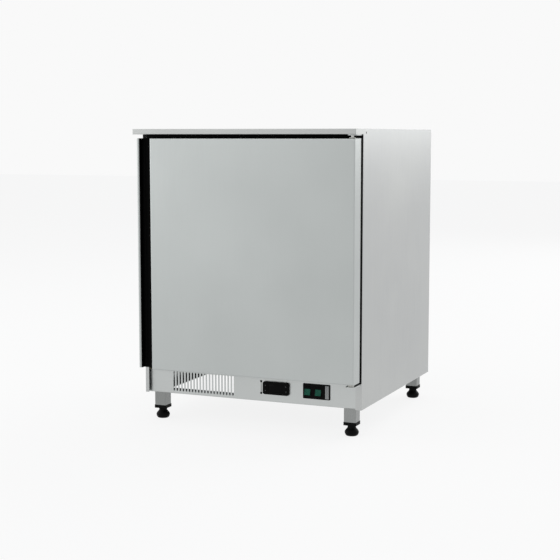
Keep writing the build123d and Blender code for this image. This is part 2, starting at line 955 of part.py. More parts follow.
def make_hinge_plates():
    """Flat hinge plates with a round nose: one under the door, one under the worktop."""
    hole = Pos(x_pin, y_pin) * round_face(pin_diameter / 2, pin_sides)
    nose = Pos(x_pin, y_pin) * round_face(hinge_nose, pin_sides)
    tail = Pos(x_pin, y_pin + hinge_tail / 2) * Rectangle(2 * hinge_nose, hinge_tail)
    low = upright(nose + tail - hole, z_plinth_top, z_cold_low)
    short = y_body - pin_play - y_pin
    tail = Pos(x_pin, y_pin + short / 2) * Rectangle(2 * hinge_nose, short)
    high = upright(nose + tail - hole, z_body_top - hinge_plate, z_body_top)
    return [low, high]


def make_hinge_pins():
    """Steel pins fixed in the hinge plates."""
    face = Pos(x_pin, y_pin) * round_face(pin_diameter / 2, pin_sides)
    low = upright(face, z_plinth_top, door_low + pin_in_door)
    return [low, upright(face, door_high - pin_in_door, z_body_top)]


def button_places():
    """Where the four buttons sit, two on each side of the display."""
    sides = (-button_reach, button_reach)
    rows = (-button_rise, button_rise)
    return [(controller_centre + side, row) for side in sides for row in rows]


def make_controller_bezel():
    """Black front of the controller, open behind, with windows for the display and the buttons."""
    front = y_plinth - controller_proud
    outer = control_face(controller_centre, 0, controller_width, controller_height, controller_round)
    body = control_face(controller_centre, 0, controller_body_width, controller_body_height)
    display = control_face(controller_centre, 0, display_width, display_height)
    bezel = inwards(outer, front, y_plinth)
    bezel -= inwards(body, front + controller_wall, y_plinth)
    bezel -= inwards(display, front, y_plinth)
    wide = button_width + 2 * button_play
    high = button_height + 2 * button_play
    for x, rise in button_places():
        bezel -= inwards(control_face(x, rise, wide, high), front, y_plinth)
    return bezel


def make_controller_display():
    """Dark display window in the bezel, resting on the controller's case."""
    front = y_plinth - controller_proud + display_set_back
    return inwards(control_face(controller_centre, 0, display_width, display_height), front, y_case)


def make_controller_case():
    """Plastic case of the controller, through the plinth's window."""
    face = control_face(controller_centre, 0, controller_body_width, controller_body_height)
    return inwards(face, y_case, y_plinth + controller_body_depth)


def make_button(x, rise):
    """One push button with a flange that stops it behind the bezel."""
    front = y_plinth - controller_proud
    behind = front + controller_wall
    wide = button_width + 2 * button_flange
    high = button_height + 2 * button_flange
    cap = inwards(control_face(x, rise, button_width, button_height), front - button_proud, behind)
    return cap + inwards(control_face(x, rise, wide, high), behind, behind + button_flange)


def rocker_places():
    """The middle of each rocker, along X."""
    return [switch_centre - rocker_offset + n * rocker_pitch for n in range(2)]


def pivot_pin(x, radius):
    """A pin across one rocker's opening, one with the frame at both ends."""
    reach = rocker_width / 2 + rocker_play + rocker_pin_reach
    ends = ((x - reach, y_pivot, controls_height), (x + reach, y_pivot, controls_height))
    return rod(radius, *ends, rod_sides)


def make_switch_frame():
    """Switch frame on the plinth, with an opening and a pivot for each rocker."""
    face = control_face(switch_centre, 0, switch_width, switch_height, switch_wall)
    frame = inwards(face, y_plinth - switch_proud, y_plinth)
    rear = y_plinth + switch_body_depth
    body = control_face(switch_centre, 0, switch_body_width, switch_body_height)
    frame += inwards(body, y_plinth, rear)
    for x in rocker_places():
        opening = control_face(x, 0, rocker_width + 2 * rocker_play, rocker_height)
        frame -= inwards(opening, y_plinth - switch_proud, rear - switch_wall)
        frame += pivot_pin(x, rocker_pin / 2)
    return frame


def make_rocker(x):
    """One rocker, drawn with its upper half pressed in."""
    half = rocker_height / 2 - rocker_end_play
    rise = half * math.tan(math.radians(rocker_swing))
    points = [
        (-rocker_front, 0),
        (-rocker_front - rise, half),
        (0, half),
        (rocker_rear, rocker_rear),
        (rocker_rear, -rocker_rear),
        (0, -half),
        (-rocker_front - rise, -half),
    ]
    section = outline(points) - round_face(rocker_pin / 2 + rocker_pin_play, rod_sides)
    rocker = across(Rot(0, 0, -rocker_swing) * section, x - rocker_width / 2, x + rocker_width / 2)
    return Pos(0, y_pivot, controls_height) * rocker


def pipe(points, diameter, bends, flats=bend_flats, sides=pipe_sides, bore=0.0):
    """A flat-sided pipe along the points that turns in short straight steps round its bends."""
    path = FilletPolyline(*points, radius=bends)
    line = Polyline(*flat_path(path, flats))
    section = round_face(diameter / 2, sides)
    if bore:
        section -= round_face(bore / 2, sides)
    start = Plane(origin=line @ 0, z_dir=line % 0) * Rot(0, 0, 90)
    return sweep(start * section, line, transition=Transition.RIGHT)


def coil_path(level):
    """Middle line of one shelf's tube: to and fro from back to front, with both ends at the back."""
    points = []
    for run in range(evaporator_runs):
        x = -x_coil + run * coil_pitch
        ends = [y_coil_back, y_coil_front]
        if run % 2:
            ends.reverse()
        points += [(x, y, level) for y in ends]
    return points


def riser(x, low, high):
    """Upright tube behind the shelves, from one shelf's end to the next one's."""
    points = [(x, y_coil_back, low), (x, y_riser, low), (x, y_riser, high), (x, y_coil_back, high)]
    return pipe(points, pipe_diameter, riser_bend)


def make_evaporator_coil():
    """The evaporator's tube: three shelves joined by risers, with its two tails through the floor."""
    coil = [pipe(coil_path(level), pipe_diameter, coil_turn, 1, coil_sides) for level in shelf_levels]
    side = 1
    for low, high in zip(shelf_levels, shelf_levels[1:]):
        coil.append(riser(side * x_coil, low, high))
        side = -side
    low = shelf_levels[0]
    high = shelf_levels[-1]
    below = z_step - pipe_tail
    suction = [(-x_coil, y_coil_back, low), (-x_coil, y_riser, low), (-x_coil, y_riser, below)]
    coil.append(pipe(suction, pipe_diameter, riser_bend))
    feed = [
        (x_coil, y_coil_back, high),
        (x_coil, y_riser, high),
        (x_capillary, y_riser, high),
        (x_capillary, y_riser, below),
    ]
    coil.append(pipe(feed, capillary_diameter, riser_bend))
    return coil


def make_shelf_wires(level):
    """Wires that lie across one shelf's tube."""
    height = level + pipe_diameter / 2 + wire_diameter / 2
    first = y_coil_front + wire_margin
    pitch = (y_coil_back - wire_margin - first) / (wire_count - 1)
    wire = RegularPolygon(wire_diameter / 2, 6, major_radius=False)
    row = [Pos(first + n * pitch, height) * wire for n in range(wire_count)]
    return across(Sketch() + row, -x_coil - wire_overhang, x_coil + wire_overhang)


def make_shelf_rails():
    """Angle rails on the tank's sides, one pair under each shelf."""
    rails = []
    for level in shelf_levels:
        low = level - pipe_diameter / 2 - rail_wall
        points = [(x_tank, low + rail_height), (x_tank, low), (x_tank - rail_reach, low)]
        angle = Polyline(*points).offset_2d(rail_wall, side=Side.RIGHT, closed=True)
        right = inwards(make_face(angle.edges()), y_coil_front + rail_end_gap, y_coil_back - rail_end_gap)
        rails += [right, right.mirror(Plane.YZ)]
    return rails


def sleeve_places():
    """Where the two pipes go through the floor of the cold space, and how thick each is."""
    return [(-x_coil, pipe_diameter), (x_capillary, capillary_diameter)]


def sleeve_bores():
    """The bores for the two sleeves, between the cold space and the cooling unit."""
    bores = Part()
    for x, diameter in sleeve_places():
        face = Pos(x, y_riser) * round_face(sleeve_diameter / 2, rod_sides)
        bores += upright(face, z_step - 1, z_tank_step + 1)
    return bores


def make_pipe_sleeves():
    """Rubber sleeves that seal the pipes in the floor."""
    sleeves = []
    for x, diameter in sleeve_places():
        face = round_face(sleeve_diameter / 2, rod_sides) - round_face(diameter / 2, pipe_sides)
        sleeves.append(upright(Pos(x, y_riser) * face, z_step, z_tank_step))
    return sleeves


def drain_bore():
    """The bore for the drain in the floor of the cold space."""
    face = Pos(x_drain, y_drain) * round_face(drain_diameter / 2, pipe_sides)
    return upright(face, z_floor, z_tank_low + 1)


def make_drain_pipe():
    """Drain from the floor of the cold space to the tray over the cooling unit's base."""
    points = [
        (x_drain, y_drain, z_tank_low),
        (x_drain, y_drain, z_drain),
        (x_drain, y_drain + drain_reach, z_drain),
        (x_drain, y_drain + drain_reach, z_unit + evap_tray_height),
    ]
    return pipe(points, drain_diameter, drain_diameter / 2 + 1, bore=drain_diameter - 2 * drain_wall)


def make_unit_tray():
    """Galvanised tray that carries the cooling unit, with a lip on both sides."""
    tray = block((-x_unit, x_unit), (y_unit_front, y_unit_back), (z_tray, z_unit))
    lip = block((x_unit - tray_sheet, x_unit), (y_unit_front, y_unit_back), (z_tray, z_unit + unit_lip))
    corner = block((x_unit - unit_corner, x_side), (y_unit_back - unit_corner, y_back), (z_floor, z_step))
    tray = tray + lip + lip.mirror(Plane.YZ)
    return tray - corner - corner.mirror(Plane.YZ)


def grommet_places():
    """Where the compressor's four rubber feet stand."""
    xs = (x_compressor - grommet_x, x_compressor + grommet_x)
    ys = (y_compressor - grommet_y, y_compressor + grommet_y)
    return [(x, y) for x in xs for y in ys]


def make_grommets():
    """Rubber feet between the tray and the compressor's plate."""
    foot = upright(round_face(grommet_diameter / 2, rod_sides), z_unit, z_unit + grommet_height)
    return [Pos(x, y) * foot for x, y in grommet_places()]


def make_compressor():
    """Hermetic compressor: an oval shell, drawn in at its foot and crown, on its mounting plate."""
    plate = soft_rectangle(2 * (grommet_x + mount_margin), 2 * (grommet_y + mount_margin), mount_margin)
    plate = upright(Pos(x_compressor, y_compressor) * plate, z_shell - mount_plate, z_shell)
    rise = z_shell_top - z_shell
    rings = []
    for share, level in shell_rings:
        size = (share * compressor_half_width, share * compressor_half_depth)
        rings.append(oval_ring(*size, z_shell + level * rise, compressor_sides))
    return plate + Pos(x_compressor, y_compressor) * stacked(rings)


def make_condenser():
    """Finned condenser with an end plate at either side that stands on the tray."""
    left, right = x_condenser
    front, back = y_condenser
    fins = int((right - left - 2 * condenser_end) / fin_pitch)
    points = []
    for n in range(fins):
        x = left + condenser_end + n * fin_pitch
        points += [(x, front + fin_depth), (x + fin_gap, front + fin_depth)]
        points += [(x + fin_gap, front), (x + fin_pitch, front)]
    points += [(right, front), (right, back), (left, back), (left, front), (left + condenser_end, front)]
    condenser = upright(outline(points), *z_condenser)
    for x in (left, right - condenser_end):
        condenser += block((x, x + condenser_end), y_condenser, (z_unit, z_condenser[0]))
    return condenser


def make_fan_shroud():
    """Duct behind the condenser, narrowed to a collar round the fan."""
    radius = fan_diameter / 2 + fan_gap
    middle = Pos(x_fan, z_fan)
    height = z_condenser[1] - z_condenser[0]
    inner = Rectangle(condenser_width - 2 * shroud_sheet, height - 2 * shroud_sheet)
    duct = middle * (Rectangle(condenser_width, height) - inner)
    ring = round_face(radius, pin_sides)
    shroud = inwards(duct, y_condenser[1], y_collar)
    face = middle * (Rectangle(condenser_width, height) - ring)
    shroud += inwards(face, y_collar - shroud_sheet, y_collar)
    collar = middle * (round_face(radius + shroud_sheet, pin_sides) - ring)
    return shroud + inwards(collar, y_collar - shroud_sheet, y_collar + collar_length)


def make_fan():
    """Fan with five pitched blades on a hub."""
    y_middle = y_collar + collar_length / 2
    hub = rod(fan_hub / 2, (0, -hub_length / 2, 0), (0, hub_length / 2, 0), pin_sides)
    swept = rod(fan_diameter / 2, (0, -hub_length / 2, 0), (0, hub_length / 2, 0), pin_sides)
    reach = fan_diameter / 2
    blade = Rot(0, 0, blade_pitch) * Box(blade_chord, blade_sheet, 2 * reach)
    upper = block((-reach, reach), (-reach, reach), (shaft_diameter, reach))
    blade = blade & upper & swept
    for n in range(fan_blades):
        hub += Rot(0, n * 360 / fan_blades, 0) * blade
    hub -= rod(shaft_diameter / 2, (0, -reach, 0), (0, reach, 0), rod_sides)
    return Pos(x_fan, y_middle, z_fan) * hub


def make_fan_shaft():
    """Steel shaft from the motor to the fan."""
    front = y_collar + collar_length / 2 - hub_length / 2
    end = y_motor + motor_length / 2
    return rod(shaft_diameter / 2, (x_fan, front, z_fan), (x_fan, end, z_fan), rod_sides)


def make_motor_bracket():
    """Strap behind the fan that carries its motor, with a foot at each end on the duct."""
    half = condenser_width / 2 - bracket_margin
    strap = block((-half, half), (y_strap, y_motor), (-bracket_height / 2, bracket_height / 2))
    for x in (-half, half - bracket_foot):
        strap += block((x, x + bracket_foot), (y_collar, y_motor), (-bracket_height / 2, bracket_height / 2))
    strap = Pos(x_fan, 0, z_fan) * strap
    return strap - rod(shaft_diameter, (x_fan, y_strap, z_fan), (x_fan, y_motor, z_fan), rod_sides)


def make_fan_motor():
    """Round motor on the strap, bored for the shaft."""
    rings = [
        (motor_diameter / 2 - motor_bevel, 0),
        (motor_diameter / 2, motor_bevel),
        (motor_diameter / 2, motor_length - motor_bevel),
        (motor_diameter / 2 - motor_bevel, motor_length),
    ]
    motor = Pos(x_fan, y_motor, z_fan) * Rot(-90, 0, 0) * turned(rings, pin_sides)
    ends = ((x_fan, y_strap, z_fan), (x_fan, y_motor + motor_length / 2 + 1, z_fan))
    return motor - rod(shaft_diameter / 2 + shaft_play, *ends, rod_sides)


def make_evaporation_tray():
    """Open tray that takes the water from the drain."""
    levels = (z_unit, z_unit + evap_tray_height)
    tray = block(x_evap_tray, y_evap_tray, levels)
    inner_x = (x_evap_tray[0] + evap_tray_wall, x_evap_tray[1] - evap_tray_wall)
    inner_y = (y_evap_tray[0] + evap_tray_wall, y_evap_tray[1] - evap_tray_wall)
    return tray - block(inner_x, inner_y, (z_unit + evap_tray_wall, z_step))


def make_filter_drier():
    """Copper drier with tapered ends between the condenser and the fine feed pipe."""
    left, right = x_drier
    end = pipe_diameter / 2
    body = drier_diameter / 2
    taper = drier_diameter
    rings = [(end, left), (body, left + taper), (body, right - taper), (end, right)]
    return Pos(0, y_drier, z_drier) * Rot(0, 90, 0) * turned(rings, rod_sides)


def make_copper_pipes():
    """Pipes of the cooling unit: hot gas, liquid, fine feed and suction."""
    y_end = sum(y_condenser) / 2
    x_shell = x_compressor - compressor_half_width
    x_gas = (x_condenser[1] + x_shell) / 2
    z_port = (z_shell + z_shell_top) / 2
    z_gas = z_condenser[1] - 2 * pipe_bend
    gas = [
        (x_shell, y_compressor, z_port),
        (x_gas, y_compressor, z_port),
        (x_gas, y_end, z_port),
        (x_gas, y_end, z_gas),
        (x_condenser[1], y_end, z_gas),
    ]
    x_liquid = (x_condenser[1] + x_drier[0]) / 2
    liquid = [
        (x_condenser[1], y_end, z_drier),
        (x_liquid, y_end, z_drier),
        (x_liquid, y_drier, z_drier),
        (x_drier[0], y_drier, z_drier),
    ]
    z_tail = z_step - pipe_tail
    z_turn = z_tail - pipe_bend - 1
    feed = [
        (x_capillary, y_riser, z_tail),
        (x_capillary, y_riser, z_turn),
        (x_capillary, y_drier, z_turn),
        (x_capillary, y_drier, z_drier),
        (x_drier[1], y_drier, z_drier),
    ]
    z_suction = z_turn - pipe_diameter
    y_suction = y_compressor + compressor_half_depth
    suction = [
        (-x_coil, y_riser, z_tail),
        (-x_coil, y_riser, z_suction),
        (-x_coil, y_drier, z_suction),
        (x_compressor, y_drier, z_suction),
        (x_compressor, y_drier, z_port),
        (x_compressor, y_suction, z_port),
    ]
    return [
        pipe(gas, pipe_diameter, pipe_bend),
        pipe(liquid, pipe_diameter, pipe_bend),
        pipe(feed, capillary_diameter, pipe_bend),
        pipe(suction, pipe_diameter, pipe_bend),
    ]


def make_rear_grille():
    """Rear panel of the base with rows of vent slots and an opening for the inlet."""
    x_half = x_side - bend_radius
    rear = y_back - outer_sheet
    length = x_side - grille_margin_side
    first = z_floor + grille_margin_low
    pitch = (z_step - grille_margin_high - first) / (grille_rows - 1)
    slot = slot_face(length, grille_slot)
    rows = []
    for n in range(grille_rows):
        for side in (-1, 1):
            rows.append(Pos(side * (length / 2 + grille_middle), first + n * pitch) * slot)
    grille = block((-x_half, x_half), (rear - outer_sheet, rear), (z_frame, z_step))
    grille -= inwards(Sketch() + rows, rear - outer_sheet, rear)
    return grille - inwards(inlet_face(0), rear - outer_sheet, rear)


def inlet_face(grow):
    """The outline of the inlet's body, grown on all sides."""
    return Pos(x_inlet, z_inlet) * Rectangle(inlet_width + 2 * grow, inlet_height + 2 * grow)


def make_power_inlet():
    """Appliance inlet in the rear grille: a lip outside, a body inside and a shallow socket."""
    rear = y_back - outer_sheet
    inlet = inwards(inlet_face(0), rear - inlet_depth, rear)
    inlet += inwards(inlet_face(inlet_lip), rear, y_back)
    return inlet - inwards(inlet_face(-inlet_lip), y_back - inlet_recess, y_back)


def make_probe():
    """Temperature probe in its clip on the left side of the cold space."""
    y = y_tank_back - probe_from_back
    z = (shelf_levels[-2] + shelf_levels[-1]) / 2
    x = -x_tank + probe_diameter / 2
    tip = rod(probe_diameter / 2, (x, y, z), (x, y + probe_length, z), bolt_sides)
    clip = (z - probe_diameter / 2, z + probe_diameter / 2)
    return tip + block((-x_tank, x), (y, y + probe_length / 2), clip)


def at_legs(piece):
    """The same piece at all four legs."""
    return [Pos(x, y) * piece for x, y in leg_places()]


side_panel_right = make_side_panel(flange_right) - hinge_slot()
button_nodes = ["button_left_low", "button_left_high", "button_right_low", "button_right_high"]
foot_nodes = ["foot_front_left", "foot_front_right", "foot_rear_left", "foot_rear_right"]
rocker_nodes = ["rocker_left", "rocker_right"]

nodes = {
    "worktop": make_worktop(),
    "worktop_core": make_worktop_core(),
    "side_panel_left": make_side_panel(flange_left).mirror(Plane.YZ),
    "side_panel_right": side_panel_right,
    "back_panel": make_back_panel(),
    "inner_tank": make_inner_tank(),
    "underside_skin": make_underside_skin(),
    "breaker_frame": make_breaker_frame(),
    "cabinet_insulation": make_insulation(),
    "plinth": make_plinth(),
    "base_frame": make_base_frame(),
    "leg_tubes": at_legs(make_leg()),
    "leg_bolts": at_legs(make_leg_bolt()),
    "leg_inserts": at_legs(make_leg_insert()),
    "door_skin": make_door_skin(),
    "door_insulation": make_door_foam(),
    "door_inner_panel": make_door_panel(),
    "door_gasket": make_gasket(),
    "grip_profile": make_grip_profile(),
    "nose_trim": make_nose_trim(),
    "door_stiffeners": make_door_stiffeners(),
    "door_bushes": make_door_bushes(),
    "hinge_plates": make_hinge_plates(),
    "hinge_pins": make_hinge_pins(),
    "controller_bezel": make_controller_bezel(),
    "controller_display": make_controller_display(),
    "controller_case": make_controller_case(),
    "switch_frame": make_switch_frame(),
    "evaporator_coil": make_evaporator_coil(),
    "shelf_wires_low": make_shelf_wires(shelf_levels[0]),
    "shelf_wires_middle": make_shelf_wires(shelf_levels[1]),
    "shelf_wires_high": make_shelf_wires(shelf_levels[2]),
    "shelf_rails": make_shelf_rails(),
    "temperature_probe": make_probe(),
    "pipe_sleeves": make_pipe_sleeves(),
    "drain_pipe": make_drain_pipe(),
    "unit_tray": make_unit_tray(),
    "compressor": make_compressor(),
    "compressor_feet": make_grommets(),
    "condenser": make_condenser(),
    "fan_shroud": make_fan_shroud(),
    "fan": make_fan(),
    "fan_shaft": make_fan_shaft(),
    "motor_bracket": make_motor_bracket(),
    "fan_motor": make_fan_motor(),
    "evaporation_tray": make_evaporation_tray(),
    "filter_drier": make_filter_drier(),
    "copper_pipes": make_copper_pipes(),
    "rear_grille": make_rear_grille(),
    "power_inlet": make_power_inlet(),
}
for name, (x, rise) in zip(button_nodes, button_places()):
    nodes[name] = make_button(x, rise)
for name, x in zip(rocker_nodes, rocker_places()):
    nodes[name] = make_rocker(x)
for name, foot in zip(foot_nodes, at_legs(make_foot())):
    nodes[name] = foot

os.makedirs("parts", exist_ok=True)
for name, piece in nodes.items():
    if isinstance(piece, list):
        piece = Compound(children=piece)
    export_step(piece, f"parts/{name}.step")
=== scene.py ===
import json
import math

import bmesh
import bpy
from mathutils import Matrix, Vector


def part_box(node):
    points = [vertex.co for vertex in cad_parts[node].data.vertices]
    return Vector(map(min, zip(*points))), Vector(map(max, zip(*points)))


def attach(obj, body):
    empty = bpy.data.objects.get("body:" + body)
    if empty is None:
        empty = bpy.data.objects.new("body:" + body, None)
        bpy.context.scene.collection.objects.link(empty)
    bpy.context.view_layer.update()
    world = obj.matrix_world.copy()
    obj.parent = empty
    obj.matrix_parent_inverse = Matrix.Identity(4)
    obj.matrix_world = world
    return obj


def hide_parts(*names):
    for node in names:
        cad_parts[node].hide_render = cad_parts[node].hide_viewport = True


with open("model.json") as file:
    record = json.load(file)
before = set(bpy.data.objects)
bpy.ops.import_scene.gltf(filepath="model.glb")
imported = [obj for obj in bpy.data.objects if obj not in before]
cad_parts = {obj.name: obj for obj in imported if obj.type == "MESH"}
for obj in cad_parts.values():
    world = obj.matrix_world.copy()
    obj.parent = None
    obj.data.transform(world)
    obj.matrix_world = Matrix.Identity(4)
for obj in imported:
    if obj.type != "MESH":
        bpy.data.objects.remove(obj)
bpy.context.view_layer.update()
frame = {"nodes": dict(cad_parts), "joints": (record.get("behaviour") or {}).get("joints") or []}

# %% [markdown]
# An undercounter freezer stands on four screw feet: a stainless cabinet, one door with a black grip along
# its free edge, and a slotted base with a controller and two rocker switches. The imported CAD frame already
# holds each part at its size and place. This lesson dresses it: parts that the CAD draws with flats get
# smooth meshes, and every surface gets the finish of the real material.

nodes = frame["nodes"]
joints = {entry["name"]: entry for entry in frame["joints"]}
scene = bpy.context.scene
mm = 0.001

# %% [markdown]
# The photograph was taken with a long lens from the right of the door, a little under worktop height. A
# camera could be moved by eye until the picture fits. This one was worked out from the cabinet's straight
# edges, which is surer. The picture is square, so the lens is given for a sensor 36 mm wide.

# %% Camera
camera_place = (1.4881, -3.5556, 0.8303)
camera_turn = Matrix.Rotation(math.radians(23.12), 4, "Z") @ Matrix.Rotation(math.radians(83.58), 4, "X")
camera_data = bpy.data.cameras.new("photo_camera")
camera_data.lens = 82.26
camera_data.sensor_width = 36.0
camera = bpy.data.objects.new("photo_camera", camera_data)
scene.collection.objects.link(camera)
camera.matrix_world = Matrix.Translation(camera_place) @ camera_turn
scene.camera = camera
print("Camera at", camera_place)

# %% [markdown]
# Colours are written as the sRGB values that a painter or a web page would use, and Blender's shaders work
# in linear light, so one function turns them. A second one adds a node, sets it and links it. Every finish
# is then one recipe: a pattern of a real size moves the colour, the roughness and the height of the surface
# a little, as grain and tooling do on real things. A painted picture could do that too, but it needs
# unwrapping, while a pattern in the object's own coordinates is the same size on every part. Noise lies
# near its middle, so only its band from 0.3 to 0.7 is used.

# %% Helpers for materials
pattern_band = (0.3, 0.7)


def colour(text):
    """A hex colour, turned from sRGB to linear, with alpha 1."""
    values = [int(text[i : i + 2], 16) / 255 for i in (1, 3, 5)]
    return tuple(v / 12.92 if v <= 0.04045 else ((v + 0.055) / 1.055) ** 2.4 for v in values) + (1.0,)


def add(tree, kind, inputs=None, **settings):
    """Adds a node. Each input is a value, or a socket to link from."""
    node = tree.nodes.new(kind)
    for name, value in settings.items():
        setattr(node, name, value)
    for name, value in (inputs or {}).items():
        if isinstance(value, bpy.types.NodeSocket):
            tree.links.new(value, node.inputs[name])
        else:
            node.inputs[name].default_value = value
    return node


def pattern_of(tree, size_mm, stretch=(1, 1, 1), texture="ShaderNodeTexNoise", output=0, **inputs):
    """A texture with grains size_mm wide, drawn out along an axis, in the object's own coordinates."""
    place = add(tree, "ShaderNodeTexCoord").outputs["Object"]
    scale = [1000 / size_mm / ratio for ratio in stretch]
    scaled = add(tree, "ShaderNodeMapping", {"Vector": place, "Scale": scale}).outputs[0]
    value = add(tree, texture, {"Vector": scaled, "Scale": 1.0, **inputs}).outputs[output]
    if value.type == "RGBA":
        value = add(tree, "ShaderNodeSeparateColor", {"Color": value}).outputs[0]
    return value


def surface(name, dark, light, rough, pattern, depth_mm=0.0, sockets=None, cloud_mm=0.0, strength=1.0):
    """A principled material. Its pattern moves roughness and height, and colour unless there are clouds."""
    material = bpy.data.materials.new(name)
    material.use_nodes = True
    tree = material.node_tree
    shader = tree.nodes["Principled BSDF"]
    shader.inputs["Roughness"].default_value = sum(rough) / 2
    for socket, value in (sockets or {}).items():
        shader.inputs[socket].default_value = value
    marks = pattern_of(tree, **pattern)
    patches = pattern_of(tree, cloud_mm) if cloud_mm else marks
    ramp = add(tree, "ShaderNodeValToRGB", {"Fac": patches})
    for stop, position, text in zip(ramp.color_ramp.elements, pattern_band, (dark, light)):
        stop.position = position
        stop.color = colour(text)
    tree.links.new(ramp.outputs[0], shader.inputs["Base Color"])
    if rough[0] != rough[1]:
        band = dict(zip(("From Min", "From Max", "To Min", "To Max"), pattern_band + rough))
        ranged = add(tree, "ShaderNodeMapRange", {"Value": marks, **band})
        tree.links.new(ranged.outputs[0], shader.inputs["Roughness"])
    if depth_mm:
        height = {"Height": marks, "Distance": depth_mm * mm, "Strength": strength}
        tree.links.new(add(tree, "ShaderNodeBump", height).outputs[0], shader.inputs["Normal"])
    return material


print("Mid grey as linear light:", round(colour("#808080")[0], 3))

# %% [markdown]
# The outer sheets are stainless steel with a satin finish from a belt. The belt leaves fine scratches in
# one direction, so reflections smear across them. Real ones are far finer than a pixel here, so these are
# drawn coarser, 1.2 mm apart and 90 mm long. They move the roughness and the height, and wide clouds move
# the grey by a shade. On the door, the sides and the legs they run upright, on the worktop and the base
# across.

# %% Stainless steel
metal = {"Metallic": 1.0}
scratch_mm = 1.2
scratch_long_mm = 90.0
sheet_cloud_mm = 260.0


def stainless(name, grain_axis, dark, light, roughness=0.36):
    """Satin stainless sheet with its scratches along one axis."""
    stretch = [scratch_long_mm / scratch_mm if axis == grain_axis else 1.0 for axis in "XYZ"]
    scratches = {"size_mm": scratch_mm, "stretch": stretch, "Detail": 3.0}
    rough = (roughness - 0.05, roughness + 0.05)
    return surface(name, dark, light, rough, scratches, 0.01, metal, sheet_cloud_mm, 0.35)


steel_door = stainless("satin_stainless_door", "Z", "#b2b6b5", "#b7bbba")
steel_side = stainless("satin_stainless_side", "Z", "#b2b4b4", "#b8bab9")
steel_top = stainless("satin_stainless_worktop", "X", "#b0b2b1", "#b6b8b7")
steel_base = stainless("satin_stainless_base", "X", "#babdbc", "#bfc2c1")
# The legs' stainless is drawn darker than the sheets, as painted shade from under the cabinet.
steel_leg_painted_shade = stainless("satin_stainless_tube_painted_shade", "Z", "#868887", "#929493", 0.3)
clip_steel = stainless("satin_spring_steel", "Z", "#8c8e8d", "#989a99", 0.4)
print("Stainless finishes:", [m.name for m in (steel_door, steel_side, steel_top, steel_base, steel_leg_painted_shade)])

# %% [markdown]
# Inside and under the cabinet the sheets are galvanised. Zinc freezes on steel in flat crystals, the
# spangle, each with its own brightness. Noise would blur them, so a Voronoi texture of 9 mm cells gives
# them, in a dull, slightly blue grey. Bolts and pins are zinc plated instead, which is bright, with a faint
# yellow and blue bloom.

# %% Galvanised and plated steel
spangle = {"size_mm": 9.0, "texture": "ShaderNodeTexVoronoi", "output": "Color"}
galvanised_steel = surface("galvanised_steel", "#a3a7a9", "#adb1b3", (0.46, 0.5), spangle, sockets=metal)
plating = {"size_mm": 0.8}
plated_steel = surface("zinc_plated_steel", "#b8b6ae", "#c6c8cc", (0.28, 0.28), plating, 0.01, metal, 6.0)
print("Zinc finishes:", galvanised_steel.name, plated_steel.name)

# %% [markdown]
# The plastics are moulded or extruded. Moulds are often etched, which gives black ABS a fine pebble and a
# dull sheen, and a grip profile shows faint lines along the way it left its die. Rubber is duller still.
# The inner tank is a vacuum formed sheet of white polystyrene, smooth but for slow waves 120 mm wide. Deep
# black is mostly a matter of reflections, so the black ones also have a low specular level.

# %% Plastics and rubber


def plastic(name, dark, light, roughness, grain_mm, depth_mm, sheen=0.5, stretch=(1, 1, 1)):
    """Moulded or drawn plastic with its pebble. A sheen under 0.5 dulls its reflections."""
    pebble = {"size_mm": grain_mm, "stretch": stretch}
    rough = (roughness - 0.04, roughness + 0.04)
    return surface(name, dark, light, rough, pebble, depth_mm, {"IOR": 1.53, "Specular IOR Level": sheen})


black = ("#030303", "#060606")
black_abs = plastic("etched_black_abs", *black, 0.5, 1.1, 0.02, 0.06)
black_grip = plastic("extruded_black_pvc", *black, 0.55, 1.5, 0.015, 0.04, (1, 1, 60))
black_nylon = plastic("moulded_black_nylon", *black, 0.5, 1.4, 0.02, 0.07)
white_tank = plastic("vacuum_formed_polystyrene", "#e5e6e3", "#ebece9", 0.32, 120.0, 0.05)
white_nylon = plastic("turned_white_nylon", "#e2e1da", "#edece6", 0.4, 1.0, 0.01)
grey_abs = plastic("moulded_grey_abs", "#9b9d9d", "#a6a8a8", 0.45, 1.2, 0.015)
faint_print = plastic("grey_pad_print", "#4a4c4c", "#5c5e5e", 0.5, 0.8, 0.005)
# Near black: the gasket's own colour, and painted shade on the strips in the door gap.
gasket_and_gap_shade_black = plastic("black_gasket_pvc_and_painted_gap_shade", "#0d0d0e", "#151516", 0.6, 2.0, 0.02, 0.15)
dark_rubber = plastic("moulded_black_rubber", "#101010", "#1a1a1a", 0.7, 1.6, 0.04)
print("Plastics made:", black_abs.name, white_tank.name, gasket_and_gap_shade_black.name)

# %% [markdown]
# A few pieces have finishes of their own. Drawn copper darkens in patches by handling. Enamel on the
# compressor and the motor and powder coat on the evaporator are thick films with orange peel and a clear
# skin. Fin stock is rolled, so its lines run one way. Cut foam shows open cells, and pressed board brown
# chips that lie flat.

# %% Copper, enamel, coating, aluminium, foam and board
film = {"IOR": 1.5, "Coat Weight": 0.25, "Coat Roughness": 0.15}
tarnish = {"size_mm": 14.0, "Detail": 4.0}
rolled = {"size_mm": 1.0, "stretch": (1, 1, 30)}
open_cells = {"size_mm": 1.8, "texture": "ShaderNodeTexVoronoi", "output": "Distance"}
chips = {"size_mm": 5.0, "stretch": (3, 3, 0.4), "Detail": 5.0}
copper_tube = surface("drawn_copper", "#8e5a3c", "#c98d6b", (0.42, 0.25), tarnish, 0.02, metal)
black_enamel = surface("black_enamel", "#0a0a0b", "#101012", (0.3, 0.3), {"size_mm": 3.0}, 0.03, film)
white_coat = surface("white_powder_coat", "#dfe1e0", "#e9ebea", (0.35, 0.35), {"size_mm": 2.5}, 0.03, film)
fin_aluminium = surface("rolled_aluminium", "#b5b8ba", "#c9ccce", (0.27, 0.4), rolled, sockets=metal)
